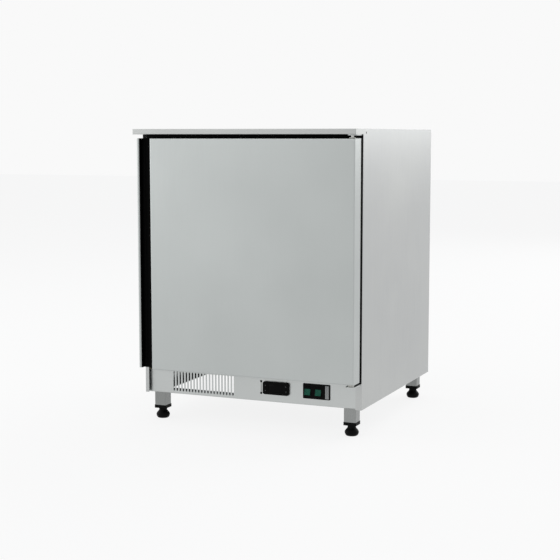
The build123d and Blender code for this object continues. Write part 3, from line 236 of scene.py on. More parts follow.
cream_foam = surface("polyurethane_foam", "#d9c68f", "#ead9a8", (0.9, 0.9), open_cells, 0.4, {"IOR": 1.4})
brown_board = surface("pressed_board", "#7d6344", "#a98a62", (0.8, 0.8), chips, 0.2, {"IOR": 1.45})
print("Other finishes made")

# %% [markdown]
# The switch lenses are green polycarbonate, and the controller's window is dark smoked acrylic. Both are
# clear plastics over an unlit inside. Here they are drawn as glossy body colours, which look the same from
# outside and need no light behind them. Both are smooth, so only a slight haze breaks their highlight.

# %% Lenses
haze = {"size_mm": 3.0}
green_clear = {"IOR": 1.58, "Specular IOR Level": 0.15}
smoked_clear = {"IOR": 1.58, "Specular IOR Level": 0.05}
green_lens = surface("green_polycarbonate", "#024a38", "#066650", (0.25, 0.33), haze, sockets=green_clear)
smoked_window = surface("smoked_acrylic", "#020202", "#040405", (0.12, 0.2), haze, sockets=smoked_clear)
print("Lenses:", green_lens.name, smoked_window.name)

# %% [markdown]
# Each CAD node whose shape is right stays and only gets its finish. A table from finish to nodes does this
# in one loop. The pieces that get a smoother or richer mesh later also get one here, so that nothing is
# left bare.

# %% Finishes for the CAD nodes
corner_names = ("front_left", "front_right", "rear_left", "rear_right")
key_names = ("left_low", "left_high", "right_low", "right_high")
shelf_names = ("low", "middle", "high")
black_parts = ["breaker_frame", "controller_bezel", "controller_case", "switch_frame", "evaporation_tray"]
black_parts += ["power_inlet", "rocker_left", "rocker_right"]
zinc_parts = ["back_panel", "underside_skin", "unit_tray", "fan_shroud", "motor_bracket", "rear_grille"]
finishes = {
    steel_top: ["worktop"],
    steel_side: ["side_panel_left", "side_panel_right"],
    steel_door: ["door_skin", "nose_trim"],
    steel_base: ["plinth", "hinge_plates", "base_frame"],
    steel_leg_painted_shade: ["leg_tubes"],
    galvanised_steel: zinc_parts + ["door_stiffeners"],
    plated_steel: ["leg_bolts", "hinge_pins", "fan_shaft"],
    black_abs: black_parts + ["button_" + name for name in key_names],
    black_grip: ["grip_profile"],
    black_nylon: ["leg_inserts"] + ["foot_" + name for name in corner_names],
    white_tank: ["inner_tank", "door_inner_panel", "shelf_rails"],
    white_nylon: ["door_bushes"],
    grey_abs: ["temperature_probe", "drain_pipe"],
    gasket_and_gap_shade_black: ["door_gasket"],
    dark_rubber: ["pipe_sleeves", "compressor_feet"],
    copper_tube: ["copper_pipes", "filter_drier"],
    black_enamel: ["compressor", "fan_motor"],
    white_coat: ["evaporator_coil"] + ["shelf_wires_" + name for name in shelf_names],
    cream_foam: ["cabinet_insulation", "door_insulation"],
    brown_board: ["worktop_core"],
    fin_aluminium: ["condenser", "fan"],
    smoked_window: ["controller_display"],
}
for finish, names in finishes.items():
    for name in names:
        slots = nodes[name].data.materials
        slots.clear()
        slots.append(finish)
dressed = {name for names in finishes.values() for name in names}
print("Nodes with a finish:", len(dressed), "left bare:", sorted(set(nodes) - dressed))

# %% [markdown]
# Every piece made here is a mesh whose points already stand in the cabinet's own frame, so its object stays
# at the origin. Nearly all of them are rings of points that are joined into walls: a lathe turns a profile
# round an axis, a prism pushes a section from left to right, and a rim leads a profile round a rounded
# rectangle. Blender's own primitives would need scaling and moving afterwards, while rings can be placed by
# the CAD's numbers. A lathe's profile is in millimetres and the rest is in metres.

# %% Helpers for meshes


def measured(node):
    """A node's lowest corner, its highest corner and its middle."""
    low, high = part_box(node)
    return low, high, (low + high) / 2


def piece(name, mesh, body, finish, stands_for=(), smooth=35.0):
    """Turns a bmesh into a named object that rides on its body."""
    bmesh.ops.remove_doubles(mesh, verts=mesh.verts, dist=1e-6)
    bmesh.ops.recalc_face_normals(mesh, faces=mesh.faces)
    data = bpy.data.meshes.new(name)
    mesh.to_mesh(data)
    mesh.free()
    data.materials.append(finish)
    return settle(name, data, body, stands_for, smooth)


def settle(name, data, body, stands_for=(), smooth=35.0):
    """Shades a mesh and ties its object to its body and the nodes it stands for."""
    thing = bpy.data.objects.new(name, data)
    scene.collection.objects.link(thing)
    data.shade_smooth()
    data.set_sharp_from_angle(angle=math.radians(smooth))
    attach(thing, body)
    if stands_for:
        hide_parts(*stands_for)
    return thing


def joined(mesh, rings, loop=False, closed=True):
    """Walls from ring to ring. A loop's last ring meets its first one, and other ends can be closed."""
    for here, there in zip(rings, rings[1:] + rings[:1] if loop else rings[1:]):
        for n in range(len(here)):
            m = (n + 1) % len(here)
            mesh.faces.new((here[n], here[m], there[m], there[n]))
    if closed and not loop:
        mesh.faces.new(rings[0][::-1])
        mesh.faces.new(rings[-1])


def lathe(mesh, profile, centre, direction=(0, 0, 1), sides=48, unit=mm, loop=False):
    """Turns (radius, distance) pairs round an axis through centre."""
    along = Vector(direction).normalized()
    other = Vector((0, 0, 1)) if abs(along.z) < 0.9 else Vector((1, 0, 0))
    first = along.cross(other).normalized()
    second = along.cross(first).normalized()
    rings = []
    for radius, reach in profile:
        ring = []
        for n in range(sides):
            angle = 2 * math.pi * n / sides
            spoke = first * math.cos(angle) + second * math.sin(angle)
            ring.append(mesh.verts.new(Vector(centre) + (along * reach + spoke * radius) * unit))
        rings.append(ring)
    joined(mesh, rings, loop)


def prism(mesh, outline, left, right, bevel, segments=2):
    """A section of (y, z) points pushed from left to right, with rounded edges."""
    ends = [[mesh.verts.new((x, y, z)) for y, z in outline] for x in (left, right)]
    joined(mesh, ends)
    new = set(ends[0] + ends[1])
    edges = [edge for edge in mesh.edges if edge.verts[0] in new and edge.verts[1] in new]
    settings = {"offset": bevel, "segments": segments, "profile": 0.5, "clamp_overlap": True}
    bmesh.ops.bevel(mesh, geom=edges, affect="EDGES", **settings)


def boxes(name, spans, bevel, finish, stands_for=(), segments=2):
    """A piece on the cabinet made of boxes between lowest and highest corners, with rounded edges."""
    mesh = bmesh.new()
    for low, high in spans:
        outline = [(low[1], low[2]), (high[1], low[2]), (high[1], high[2]), (low[1], high[2])]
        prism(mesh, outline, low[0], high[0], bevel, segments)
    piece(name, mesh, "cabinet", finish, stands_for)


def rim(mesh, centre, half, corner, profile, steps=8):
    """A closed profile of (outwards, y) points led round a rounded rectangle that faces the front."""
    rings = []
    for side_x, side_z, start in ((1, 1, 0), (-1, 1, 90), (-1, -1, 180), (1, -1, 270)):
        for n in range(steps + 1):
            angle = math.radians(start + 90 * n / steps)
            ring = []
            for out, y in profile:
                x = centre.x + side_x * (half.x - corner) + (corner + out) * math.cos(angle)
                z = centre.z + side_z * (half.z - corner) + (corner + out) * math.sin(angle)
                ring.append(mesh.verts.new((x, y, z)))
            rings.append(ring)
    joined(mesh, rings, loop=True)


print("Mesh helpers ready")

# %% [markdown]
# The cabinet stands on four screw feet. Each is a moulded nylon foot on a threaded stud: it is narrow at
# its sole, swells to a belly, draws in to a waist and flares again under the leg's plate. A stack of
# cylinders would show steps, so one lathe profile gives the form, and above it the stud has thread rings.

# %% Screw feet
foot_profile = [
    (13.2, 0.0), (15.0, 0.6), (17.6, 3.0), (19.3, 6.6), (19.95, 10.2), (19.6, 12.8), (18.2, 15.4),
    (16.0, 18.2), (13.6, 20.8), (12.0, 23.2), (11.6, 25.4), (11.9, 27.6), (13.0, 29.4), (13.6, 30.2),
    (13.0, 30.7),
]
thread_start = 30.0
thread_pitch = 1.5
thread_root, thread_crest, stud_tip = 4.4, 5.0, 4.0
for place in corner_names:
    low, high, middle = measured("foot_" + place)
    sole = (middle.x, middle.y, low.z)
    stud_top = (high.z - low.z) / mm
    thread = []
    level = thread_start
    while level < stud_top - 1.0:
        thread += [(thread_root, level), (thread_crest, level + thread_pitch / 2)]
        level += thread_pitch
    mesh = bmesh.new()
    lathe(mesh, foot_profile, sole)
    lathe(mesh, thread + [(stud_tip, stud_top)], sole, sides=20)
    body = "foot_" + place + "_screw"
    foot = piece("foot_smooth_" + place, mesh, body, black_nylon, ["foot_" + place])
print("Feet:", len(foot.data.polygons), "faces each")

# %% [markdown]
# The door hangs on two steel pins that turn in white nylon bushes. The collar of each bush shows as a white
# disc in the gap over and under the door. The collars get a small round at their rims, as turned nylon has.
# A bush has a bore, so its profile is a loop and not a line.

# %% Hinge bushes
pin_low, pin_high, pin = measured("hinge_pins")
bush_low, bush_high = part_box("door_bushes")
skin_low, skin_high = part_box("door_skin")
collar = 9.0
collar_edge = 0.6
sleeve = 6.0
sleeve_long = 22.0
bore = 4.05
mesh = bmesh.new()
for start, way, skin_edge in ((bush_low.z, 1, skin_low.z), (bush_high.z, -1, skin_high.z)):
    thick = abs(skin_edge - start) / mm
    profile = [(bore, 0.0), (collar - collar_edge, 0.0), (collar, collar_edge), (collar, thick)]
    profile += [(sleeve, thick), (sleeve, thick + sleeve_long), (bore, thick + sleeve_long)]
    lathe(mesh, profile, (pin.x, pin.y, start), (0, 0, way), 40, loop=True)
bushes = piece("hinge_bushes_turned", mesh, "door", white_nylon, ["door_bushes"])
print("Bushes:", [round(v, 4) for v in bushes.dimensions])

# %% [markdown]
# The gasket is one soft profile, welded at its corners with mitres. Its foot clips into a groove of the
# inner panel, a neck over it lets it give, and its flat head holds the magnet strip. A section led along a
# curve can twist at the corners, so the section stands at the four corners instead. Each corner's ring
# serves both sides that meet there, which gives the mitre for nothing.

# %% Door gasket
gasket_low, gasket_high, gasket_middle = measured("door_gasket")
foot_half = 9.7
section = [
    (-9.7, 0.0), (9.7, 0.0), (9.7, 2.2), (6.0, 3.0), (5.2, 4.2), (6.6, 5.6), (8.0, 6.6), (8.0, 11.2),
    (7.4, 11.7), (0.0, 11.4), (-7.4, 11.7), (-8.0, 11.2), (-8.0, 8.2), (-5.0, 7.6), (-3.6, 6.4),
    (-5.0, 5.2), (-6.6, 4.0), (-6.0, 2.8), (-9.7, 2.2),
]
depth = gasket_high.y - gasket_low.y
scale = depth / max(rise for out, rise in section)
half = (gasket_high - gasket_low) / 2
mesh = bmesh.new()
corners = []
for side_x, side_z in ((-1, -1), (1, -1), (1, 1), (-1, 1)):
    ring = []
    for out, rise in section:
        x = side_x * (half.x + (out - foot_half) * mm)
        z = gasket_middle.z + side_z * (half.z + (out - foot_half) * mm)
        ring.append(mesh.verts.new((x, gasket_low.y + rise * scale, z)))
    corners.append(ring)
joined(mesh, corners, loop=True)
gasket = piece("door_gasket_mitred", mesh, "door", gasket_and_gap_shade_black, ["door_gasket"], smooth=50)
print("Gasket:", [round(v, 4) for v in gasket.dimensions], "CAD depth", round(depth, 4))

# %% [markdown]
# The controller's front is a black moulding with a smoked window. The display behind it is dark, as when
# the freezer is off. The moulding's edge is rounded, so a smooth rim goes round the CAD bezel. The window
# only needs its edges rounded, so it is a bevelled box.

# %% Controller rim and window
bezel_low, bezel_high, bezel = measured("controller_bezel")
front = bezel_low.y
rim_corner = 6 * mm
rim_profile = [
    (0.05 * mm, bezel_high.y),
    (0.05 * mm, front + 1.5 * mm),
    (-0.25 * mm, front + 0.6 * mm),
    (-0.8 * mm, front + 0.1 * mm),
    (-1.6 * mm, front - 0.06 * mm),
    (-3.0 * mm, front - 0.06 * mm),
    (-3.0 * mm, bezel_high.y),
]
mesh = bmesh.new()
rim(mesh, bezel, (bezel_high - bezel_low) / 2, rim_corner, rim_profile)
piece("controller_rim", mesh, "cabinet", black_abs)
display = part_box("controller_display")
boxes("controller_window", [display], 0.5 * mm, smoked_window, ["controller_display"], 3)
print("Window:", [round(v, 4) for v in display[1] - display[0]])

# %% [markdown]
# Four keys stand beside the window, and each carries a small generic sign: arrows up and down, a flake for
# defrost and a ring for on and off. Real ones are printed with a pad. A texture would need an image, so the
# signs are thin flat meshes that ride with their keys.

# %% Key signs


def bar(x, z, width):
    """A straight stroke from (x, z) through the middle, as four corner points."""
    side_x, side_z = Vector((z, -x)).normalized() * width / 2
    ways = ((1, 1), (-1, 1), (-1, -1), (1, -1))
    return [(end * x + side * side_x, end * z + side * side_z) for end, side in ways]


def ring_of(inner, outer, count=20):
    """A flat ring as a row of small quads."""
    shapes = []
    for n in range(count):
        here, there = 2 * math.pi * n / count, 2 * math.pi * (n + 1) / count
        corners = ((inner, here), (outer, here), (outer, there), (inner, there))
        shapes.append([(radius * math.cos(angle), radius * math.sin(angle)) for radius, angle in corners])
    return shapes


def printed(mesh, shapes, place, thick):
    """Flat shapes of (x, z) points in millimetres, as a thin print on a face that looks to the front."""
    for shape in shapes:
        layers = []
        for y in (place.y - thick * mm, place.y + thick * mm):
            layers.append([mesh.verts.new((place.x + x * mm, y, place.z + z * mm)) for x, z in shape])
        joined(mesh, layers)


flake_reach = 2.0
flake_arms = [math.radians(60 * n) for n in range(3)]
signs = {
    "left_high": [[(-2.0, -1.0), (2.0, -1.0), (0.0, 1.6)]],
    "left_low": [[(-2.0, 1.0), (0.0, -1.6), (2.0, 1.0)]],
    "right_high": [bar(flake_reach * math.cos(arm), flake_reach * math.sin(arm), 0.5) for arm in flake_arms],
    "right_low": ring_of(1.3, 1.9),
}
for key, shapes in signs.items():
    low, high, middle = measured("button_" + key)
    mesh = bmesh.new()
    printed(mesh, shapes, Vector((middle.x, low.y, middle.z)), 0.05)
    piece("sign_" + key, mesh, "button_" + key + "_key", faint_print)
print("Key signs:", sorted(signs))

# %% [markdown]
# The two rocker switches are the only colour on the freezer. Each is a black moulding with a green lens let
# into its lower part. Its face is bent inwards at the pivot, so one half stands out of the frame while the
# other half lies level with it. The section is drawn upright and then tipped as the CAD rocker is, which
# keeps it on the pivot. A ring, the usual sign for off, is printed on the upper half.

# %% Rocker switches
rest_tip = math.radians(8.0)
rocker_back = [(-0.4, 12.7), (4.9, 5.0), (4.9, -5.0), (-0.4, -12.7)]
rocker_outline = [(-4.0, 0.0), (-5.75, 12.5)] + rocker_back + [(-5.75, -12.5)]
lens_outline = [(-3.2, 5.6), (-5.15, 5.6), (-4.4, 0.0), (-6.15, -12.1), (-3.2, -12.1)]
sign_spot = (-5.2, 9.3)
sign_rise = 9.9 * mm


def tipped(outline, pivot):
    """A section in millimetres round the pivot, tipped to its place at rest, in metres."""
    turned = []
    for y, z in outline:
        back = y * math.cos(rest_tip) + z * math.sin(rest_tip)
        up = z * math.cos(rest_tip) - y * math.sin(rest_tip)
        turned.append((pivot.y + back * mm, pivot.z + up * mm))
    return turned


for side in ("left", "right"):
    low, high, middle = measured("rocker_" + side)
    joint = joints["rocker_" + side + "_tilt"]
    pivot = Vector(joint["pos_m"])
    body = joint["child"]
    mesh = bmesh.new()
    prism(mesh, tipped(rocker_outline, pivot), low.x, high.x, 0.5 * mm)
    piece("rocker_body_" + side, mesh, body, black_abs, ["rocker_" + side])
    mesh = bmesh.new()
    prism(mesh, tipped(lens_outline, pivot), low.x + 0.5 * mm, high.x - 0.5 * mm, 0.7 * mm, 3)
    piece("rocker_lens_" + side, mesh, body, green_lens)
    mesh = bmesh.new()
    face = tipped([sign_spot], pivot)[0][0] + 0.02 * mm
    printed(mesh, ring_of(1.5, 2.1), Vector((middle.x, face, pivot.z + sign_rise)), 0.12)
    piece("rocker_sign_" + side, mesh, body, faint_print)
print("Rockers:", round(rest_tip, 3), "rad tipped at rest")

# %% [markdown]
# Two small fittings stand beside the controls. A grey blanking strip fills the free end of the switch
# frame, where a third switch could go. A spring clip holds the controller from the left: its two dark feet
# show in their windows, with a light strip between them. All of them are small boxes with rounded edges.

# %% Blanking strip and clip
frame_low, frame_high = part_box("switch_frame")
strip_start = frame_high.x - 14.2 * mm
strips = []
for left, right in ((0.0, 4.6), (5.1, 10.6)):
    low = (strip_start + left * mm, frame_low.y - 0.5 * mm, frame_low.z + 2.5 * mm)
    strips.append((low, (strip_start + right * mm, frame_low.y + 0.4 * mm, frame_high.z - 3.5 * mm)))
boxes("switch_blank", strips, 0.3 * mm, grey_abs)
clip = Vector((bezel_low.x - 7.0 * mm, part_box("plinth")[0].y, bezel.z))
clip_half = 1.6 * mm
clip_rise = 17.0 * mm
clip_foot = 2.9 * mm
blade = [(clip - Vector((clip_half, 0.4 * mm, clip_rise)), clip + Vector((clip_half, 0.3 * mm, clip_rise)))]
boxes("controller_clip", blade, 0.15 * mm, clip_steel)
reach = Vector((clip_foot, 0.7 * mm, clip_foot))
ends = [clip + Vector((0.0, 0.0, rise)) for rise in (-clip_rise, clip_rise)]
feet = [(end - reach, end + reach) for end in ends]
boxes("controller_clip_feet", feet, 0.4 * mm, black_abs)
print("Clip at", [round(v, 4) for v in clip])

# %% [markdown]
# Behind the closed door a thin black strip lies on the cabinet's two front edges. It is painted shade: it
# makes the gap along the hinge side look black, where bare steel would throw light back out of the gap.
# Darker steel would show on the side as well, so the painted shade is a thin strip of its own.

# %% Painted shade strip in the door gap
breaker_low, breaker_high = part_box("breaker_frame")
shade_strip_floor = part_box("underside_skin")[0].z + 1 * mm
shade_strip_edge, shade_strip_seam = 0.3 * mm, 0.2 * mm
body_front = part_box("side_panel_right")[0].y
shade_strips = []
for side, inner in (("left", breaker_low.x), ("right", breaker_high.x)):
    low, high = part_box("side_panel_" + side)
    outer = low.x + shade_strip_edge if side == "left" else high.x - shade_strip_edge
    start = (min(inner, outer) + shade_strip_seam, body_front - 0.3 * mm, shade_strip_floor)
    shade_strips.append((start, (max(inner, outer) - shade_strip_seam, body_front + 0.2 * mm, breaker_high.z - 0.5 * mm)))
# Both strips are painted shade, black where the gap between door and cabinet falls dark.
boxes("painted_gap_shade_strip", shade_strips, 0.1 * mm, gasket_and_gap_shade_black, segments=1)
print("Painted_shade_strip from", round(shade_strip_floor, 4), "m up")

# %% [markdown]
# What repeats or follows a path is made with Geometry Nodes. A loop in Python could copy it too, but a tree
# keeps one wire, fin or rivet and sets it wherever a point is. Each tree is built in code with named inputs
# for its sizes and runs once on some data. Its result is kept as a plain mesh, because copies inside a tree
# don't export.

# %% Helpers for node trees


def start_tree(name, inputs):
    """A geometry tree with a geometry input and named inputs. Returns the tree and its sockets."""
    tree = bpy.data.node_groups.new(name, "GeometryNodeTree")
    for label, kind in {"Geometry": "Geometry", **inputs}.items():
        tree.interface.new_socket(label, in_out="INPUT", socket_type="NodeSocket" + kind)
    tree.interface.new_socket("Geometry", in_out="OUTPUT", socket_type="NodeSocketGeometry")
    return tree, tree.nodes.new("NodeGroupInput").outputs


def close_tree(tree, geometry, finish):
    """Makes the instances real, gives them their finish and sends them out."""
    real = add(tree, "GeometryNodeRealizeInstances", {"Geometry": geometry})
    finished = add(tree, "GeometryNodeSetMaterial", {"Geometry": real.outputs[0], "Material": finish})
    tree.links.new(finished.outputs[0], tree.nodes.new("NodeGroupOutput").inputs[0])


def run_tree(name, tree, values, data, stands_for=(), smooth=35.0):
    """Runs a tree on a mesh or a curve and keeps the result as one plain mesh on the cabinet."""
    maker = bpy.data.objects.new(name, data)
    scene.collection.objects.link(maker)
    modifier = maker.modifiers.new(tree.name, "NODES")
    modifier.node_group = tree
    for item in tree.interface.items_tree:
        if item.in_out == "INPUT" and item.name in values:
            modifier[item.identifier] = values[item.name]
    bpy.context.view_layer.update()
    plain = bpy.data.meshes.new_from_object(maker.evaluated_get(bpy.context.evaluated_depsgraph_get()))
    maker.modifiers.clear()
    bpy.data.objects.remove(maker)
    return settle(name, plain, "cabinet", stands_for, smooth)


def tube(tree, curve, radius, sides):
    """A circle led along a curve, with its ends filled."""
    ring = add(tree, "GeometryNodeCurvePrimitiveCircle", {"Radius": radius, "Resolution": sides})
    swept = {"Curve": curve, "Profile Curve": ring.outputs[0], "Fill Caps": True}
    return add(tree, "GeometryNodeCurveToMesh", swept).outputs[0]


def pipe_tree(name, finish):
    """A round pipe along every spline."""
    tree, given = start_tree(name, {"Radius": "Float", "Sides": "Int"})
    close_tree(tree, tube(tree, given["Geometry"], given["Radius"], given["Sides"]), finish)
    return tree


def run_pipe(name, tree, radius, sides, paths, stands_for=()):
    """Leads a pipe along each path, given as rows of points."""
    curve = bpy.data.curves.new(name, "CURVE")
    curve.dimensions = "3D"
    for path in paths:
        spline = curve.splines.new("POLY")
        spline.points.add(len(path) - 1)
        for point, place in zip(spline.points, path):
            point.co = (*place, 1.0)
    run_tree(name, tree, {"Radius": radius, "Sides": sides}, curve, stands_for, 50)


def rounded_path(points, bend, steps=8):
    """A path with each corner turned in an arc. bend is the radius, or a rule that gives it for a corner."""
    points = [Vector(p) for p in points]
    path = [points[0]]
    for before, corner, after in zip(points, points[1:], points[2:]):
        back = (before - corner).normalized()
        ahead = (after - corner).normalized()
        half = back.angle(ahead) / 2
        wanted = bend(corner) if callable(bend) else bend
        room = 0.49 * min((before - corner).length, (after - corner).length)
        reach = min(wanted / math.tan(half), room)
        radius = reach * math.tan(half)
        centre = corner + (back + ahead).normalized() * radius / math.sin(half)
        start = (corner + back * reach - centre).normalized()
        end = (corner + ahead * reach - centre).normalized()
        for n in range(steps + 1):
            path.append(centre + start.slerp(end, n / steps) * radius)
    path.append(points[-1])
    return path


def route(start, *turns):
    """Corners of a pipe that runs square to the axes. Each turn gives an axis and how far along it to go."""
    points = [Vector(start)]
    for axis, value in turns:
        points.append(points[-1].copy())
        setattr(points[-1], axis, value)
    return points


coated_pipe = pipe_tree("coated_pipe", white_coat)
copper_pipe = pipe_tree("copper_pipe", copper_tube)
drain_hose = pipe_tree("drain_pipe_tree", grey_abs)
print("Pipe trees:", coated_pipe.name, copper_pipe.name, drain_hose.name)

# %% [markdown]
# The evaporator is one long steel pipe under white powder coat. It comes up behind the shelves, winds to
# and fro as the lowest shelf, climbs at the back and winds again, three times in all. A thinner feed pipe
# joins its last end and drops to the cooling unit. The pipe's corners are points here and one helper rounds
# them: wide in the windings, tight at the back. The top shelf's last front corner is left square.

# %% Evaporator
pipe_radius = 4.0 * mm
feed_radius = 2.5 * mm
coil_half = 262 * mm
coil_front, coil_back, riser_back = -258 * mm, 258 * mm, 270 * mm
shelf_heights = [385 * mm, 518.33 * mm, 651.67 * mm]
tail_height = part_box("pipe_sleeves")[0].z - 9 * mm
runs = 8
wide_bend, tight_bend = 34 * mm, 9 * mm
coil_x = [-coil_half + 2 * coil_half * n / (runs - 1) for n in range(runs)]
corners = [(-coil_half, riser_back, tail_height)]
for number, height in enumerate(shelf_heights):
    columns = coil_x if number % 2 == 0 else coil_x[::-1]
    corners.append((columns[0], riser_back, height))
    for n in range(0, runs, 2):
        corners += [(columns[n], coil_front, height), (columns[n + 1], coil_front, height)]
        if n + 2 < runs:
            corners += [(columns[n + 1], coil_back, height), (columns[n + 2], coil_back, height)]
    corners.append((columns[-1], riser_back, height))


def coil_bend(corner):
    """Wide in the windings, tight where the pipe climbs at the back."""
    return wide_bend if corner.y < riser_back - mm else tight_bend


coil_line = rounded_path(corners[:-1], coil_bend) + [Vector(corners[-1])]
run_pipe("evaporator_pipe", coated_pipe, pipe_radius, 14, [coil_line], ["evaporator_coil"])
feed_x = 240 * mm
feed_line = rounded_path(route(corners[-1], ("x", feed_x), ("z", tail_height)), tight_bend)
run_pipe("evaporator_feed", coated_pipe, feed_radius, 12, [feed_line])
length = sum((b - a).length for a, b in zip(coil_line, coil_line[1:]))
print("Evaporator pipe:", round(length, 2), "m long,", len(coil_line), "points")

# %% [markdown]
# Goods lie on the evaporator's shelves, so wires cross its pipe. A shelf's wires are one wire many times: a
# tree makes a row of points and sets a short wire on each. The CAD model has every second wire, and here
# they are about 16 mm apart.

# %% Shelf wires


def row_tree(name, inputs):
    """Starts a tree with Count points in a row, the first one at First and each a Step further."""
    tree, given = start_tree(name, {"Count": "Int", "First": "Vector", "Step": "Vector", **inputs})
    spots = {"Count": given["Count"], "Start Location": given["First"], "Offset": given["Step"]}
    return tree, given, add(tree, "GeometryNodeMeshLine", spots, mode="OFFSET").outputs[0]


def set_on(tree, points, thing, finish, **more):
    """Sets a thing on every point and closes the tree."""
    copies = add(tree, "GeometryNodeInstanceOnPoints", {"Points": points, "Instance": thing, **more})
    close_tree(tree, copies.outputs[0], finish)


tree, given, row = row_tree("wire_row", {"Left": "Vector", "Right": "Vector", "Radius": "Float"})
line = add(tree, "GeometryNodeCurvePrimitiveLine", {"Start": given["Left"], "End": given["Right"]})
set_on(tree, row, tube(tree, line.outputs[0], given["Radius"], 10), white_coat)
wire_count = 31
for name in shelf_names:
    low, high, middle = measured("shelf_wires_" + name)
    radius = (high.z - low.z) / 2
    first = low.y + radius
    values = {
        "Count": wire_count,
        "First": (0.0, first, middle.z),
        "Step": (0.0, (high.y - radius - first) / (wire_count - 1), 0.0),
        "Left": (-high.x, 0.0, 0.0),
        "Right": (high.x, 0.0, 0.0),
        "Radius": radius,
    }
    nothing = bpy.data.meshes.new("nothing")
    stands_for = ["shelf_wires_" + name]
    shelf = run_tree("shelf_wire_row_" + name, tree, values, nothing, stands_for, 50)
print("Wires a shelf:", wire_count, "faces:", len(shelf.data.polygons))

# %% [markdown]
# The condenser gives off the heat. It is a stack of thin aluminium fins on copper hairpins, between two
# plates. The fins are drawn 3 mm apart. A striped texture would look flat from the side, so each fin is a
# thin box that a tree repeats, and the hairpins' bends stand out at both end plates.

# %% Condenser
cond_low, cond_high, cond = measured("condenser")
fin_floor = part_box("fan_shroud")[0].z
tree, given, row = row_tree("fin_stack", {"Fin": "Vector"})
set_on(tree, row, add(tree, "GeometryNodeMeshCube", {"Size": given["Fin"]}).outputs[0], fin_aluminium)
fin_pitch = 3.0 * mm
fin_thick = 0.35 * mm
end_plate = 1.5 * mm
fin_count = int((cond_high.x - cond_low.x - 2 * end_plate) / fin_pitch)
height = cond_high.z - fin_floor
values = {
    "Count": fin_count,
    "First": (cond_low.x + end_plate + fin_pitch / 2, cond.y, fin_floor + height / 2),
    "Step": (fin_pitch, 0.0, 0.0),
    "Fin": (fin_thick, cond_high.y - cond_low.y - 2 * mm, height - 3 * mm),
}
run_tree("condenser_fins", tree, values, bpy.data.meshes.new("nothing"), ["condenser"])
plates = []
for x in (cond_low.x, cond_high.x - end_plate):
    plates.append(((x, cond_low.y, cond_low.z), (x + end_plate, cond_high.y, cond_high.z)))
boxes("condenser_end_plates", plates, 0.4 * mm, galvanised_steel)
rows = 6
row_pitch = height / rows
column_reach = 11 * mm
stub = 2 * mm
bend_bulge = 0.32 * row_pitch
arc_angles = [math.radians(15 * step - 90) for step in range(13)]
tubes = []
bends = []
for y in (cond.y - column_reach, cond.y + column_reach):
    for n in range(rows):
        z = fin_floor + row_pitch * (n + 0.5)
        tubes.append([(cond_low.x - stub, y, z), (cond_high.x + stub, y, z)])
    for n in range(rows - 1):
        x, way = (cond_high.x, 1) if n % 2 == 0 else (cond_low.x, -1)
        z = fin_floor + row_pitch * (n + 1)
        out = [x + way * (stub + bend_bulge * math.cos(angle)) for angle in arc_angles]
        bends.append([(x, y, z + row_pitch / 2 * math.sin(angle)) for x, angle in zip(out, arc_angles)])
run_pipe("condenser_hairpins", copper_pipe, 3.6 * mm, 12, tubes + bends)
print("Condenser:", fin_count, "fins,", len(tubes), "pipes")

# %% [markdown]
# Blind rivets fasten the rear sheets. A rivet's head is a low dome. Two short cones, one on the other, are
# round enough at this size and have few faces, and the tree sets one on each point.

# %% Rivets on the rear
rear_low, rear_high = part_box("rear_grille")
back_low, back_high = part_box("back_panel")
rivet_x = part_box("side_panel_right")[1].x - 26 * mm
rivet_edge = 12 * mm
rivet_columns = (-0.15, 0.0, 0.15)
heights = [rear_low.z + share * (rear_high.z - rear_low.z) for share in (0.08, 0.5, 0.93)]
heights += [back_low.z + share * (back_high.z - back_low.z) for share in (0.06, 0.28, 0.5, 0.72, 0.94)]
places = [(x, rear_high.y, z) for x in (-rivet_x, rivet_x) for z in heights]
edges = (back_low.z + rivet_edge, rear_high.z - rivet_edge)
places += [(x, rear_high.y, z) for z in edges for x in rivet_columns]
tree, given = start_tree("rivet_heads", {"Radius": "Float", "Height": "Float"})
sizes = {}
for name, socket, share in (("half", "Height", 0.5), ("waist", "Radius", 0.86), ("crown", "Radius", 0.45)):
    sizes[name] = add(tree, "ShaderNodeMath", {0: given[socket], 1: share}, operation="MULTIPLY").outputs[0]
cones = []
for foot, top in ((given["Radius"], sizes["waist"]), (sizes["waist"], sizes["crown"])):
    cone = {"Vertices": 20, "Depth": sizes["half"], "Radius Bottom": foot, "Radius Top": top}
    cones.append(add(tree, "GeometryNodeMeshCone", cone).outputs[0])
lift = add(tree, "ShaderNodeCombineXYZ", {"Z": sizes["half"]}).outputs[0]
cones[1] = add(tree, "GeometryNodeTransform", {"Geometry": cones[1], "Translation": lift}).outputs[0]
dome = add(tree, "GeometryNodeJoinGeometry")
for cone in cones:
    tree.links.new(cone, dome.inputs[0])
backwards = (math.radians(-90), 0, 0)
set_on(tree, given["Geometry"], dome.outputs[0], plated_steel, Rotation=backwards)
points = bpy.data.meshes.new("rivet_places")
points.from_pydata(places, [], [])
rivets = run_tree("rear_rivets", tree, {"Radius": 3.2 * mm, "Height": 0.72 * mm}, points, (), 60)
print("Rivets:", len(places), "furthest back", round(max(v.co.y for v in rivets.data.vertices), 5))

# %% [markdown]
# The copper pipes join the compressor, the condenser, the drier and the evaporator. They are hard drawn
# pipe, bent on a former with a 9 mm radius, so each is a line of corners with one radius. A free curve
# would look like limp wire. They start and end where the CAD pipes do.

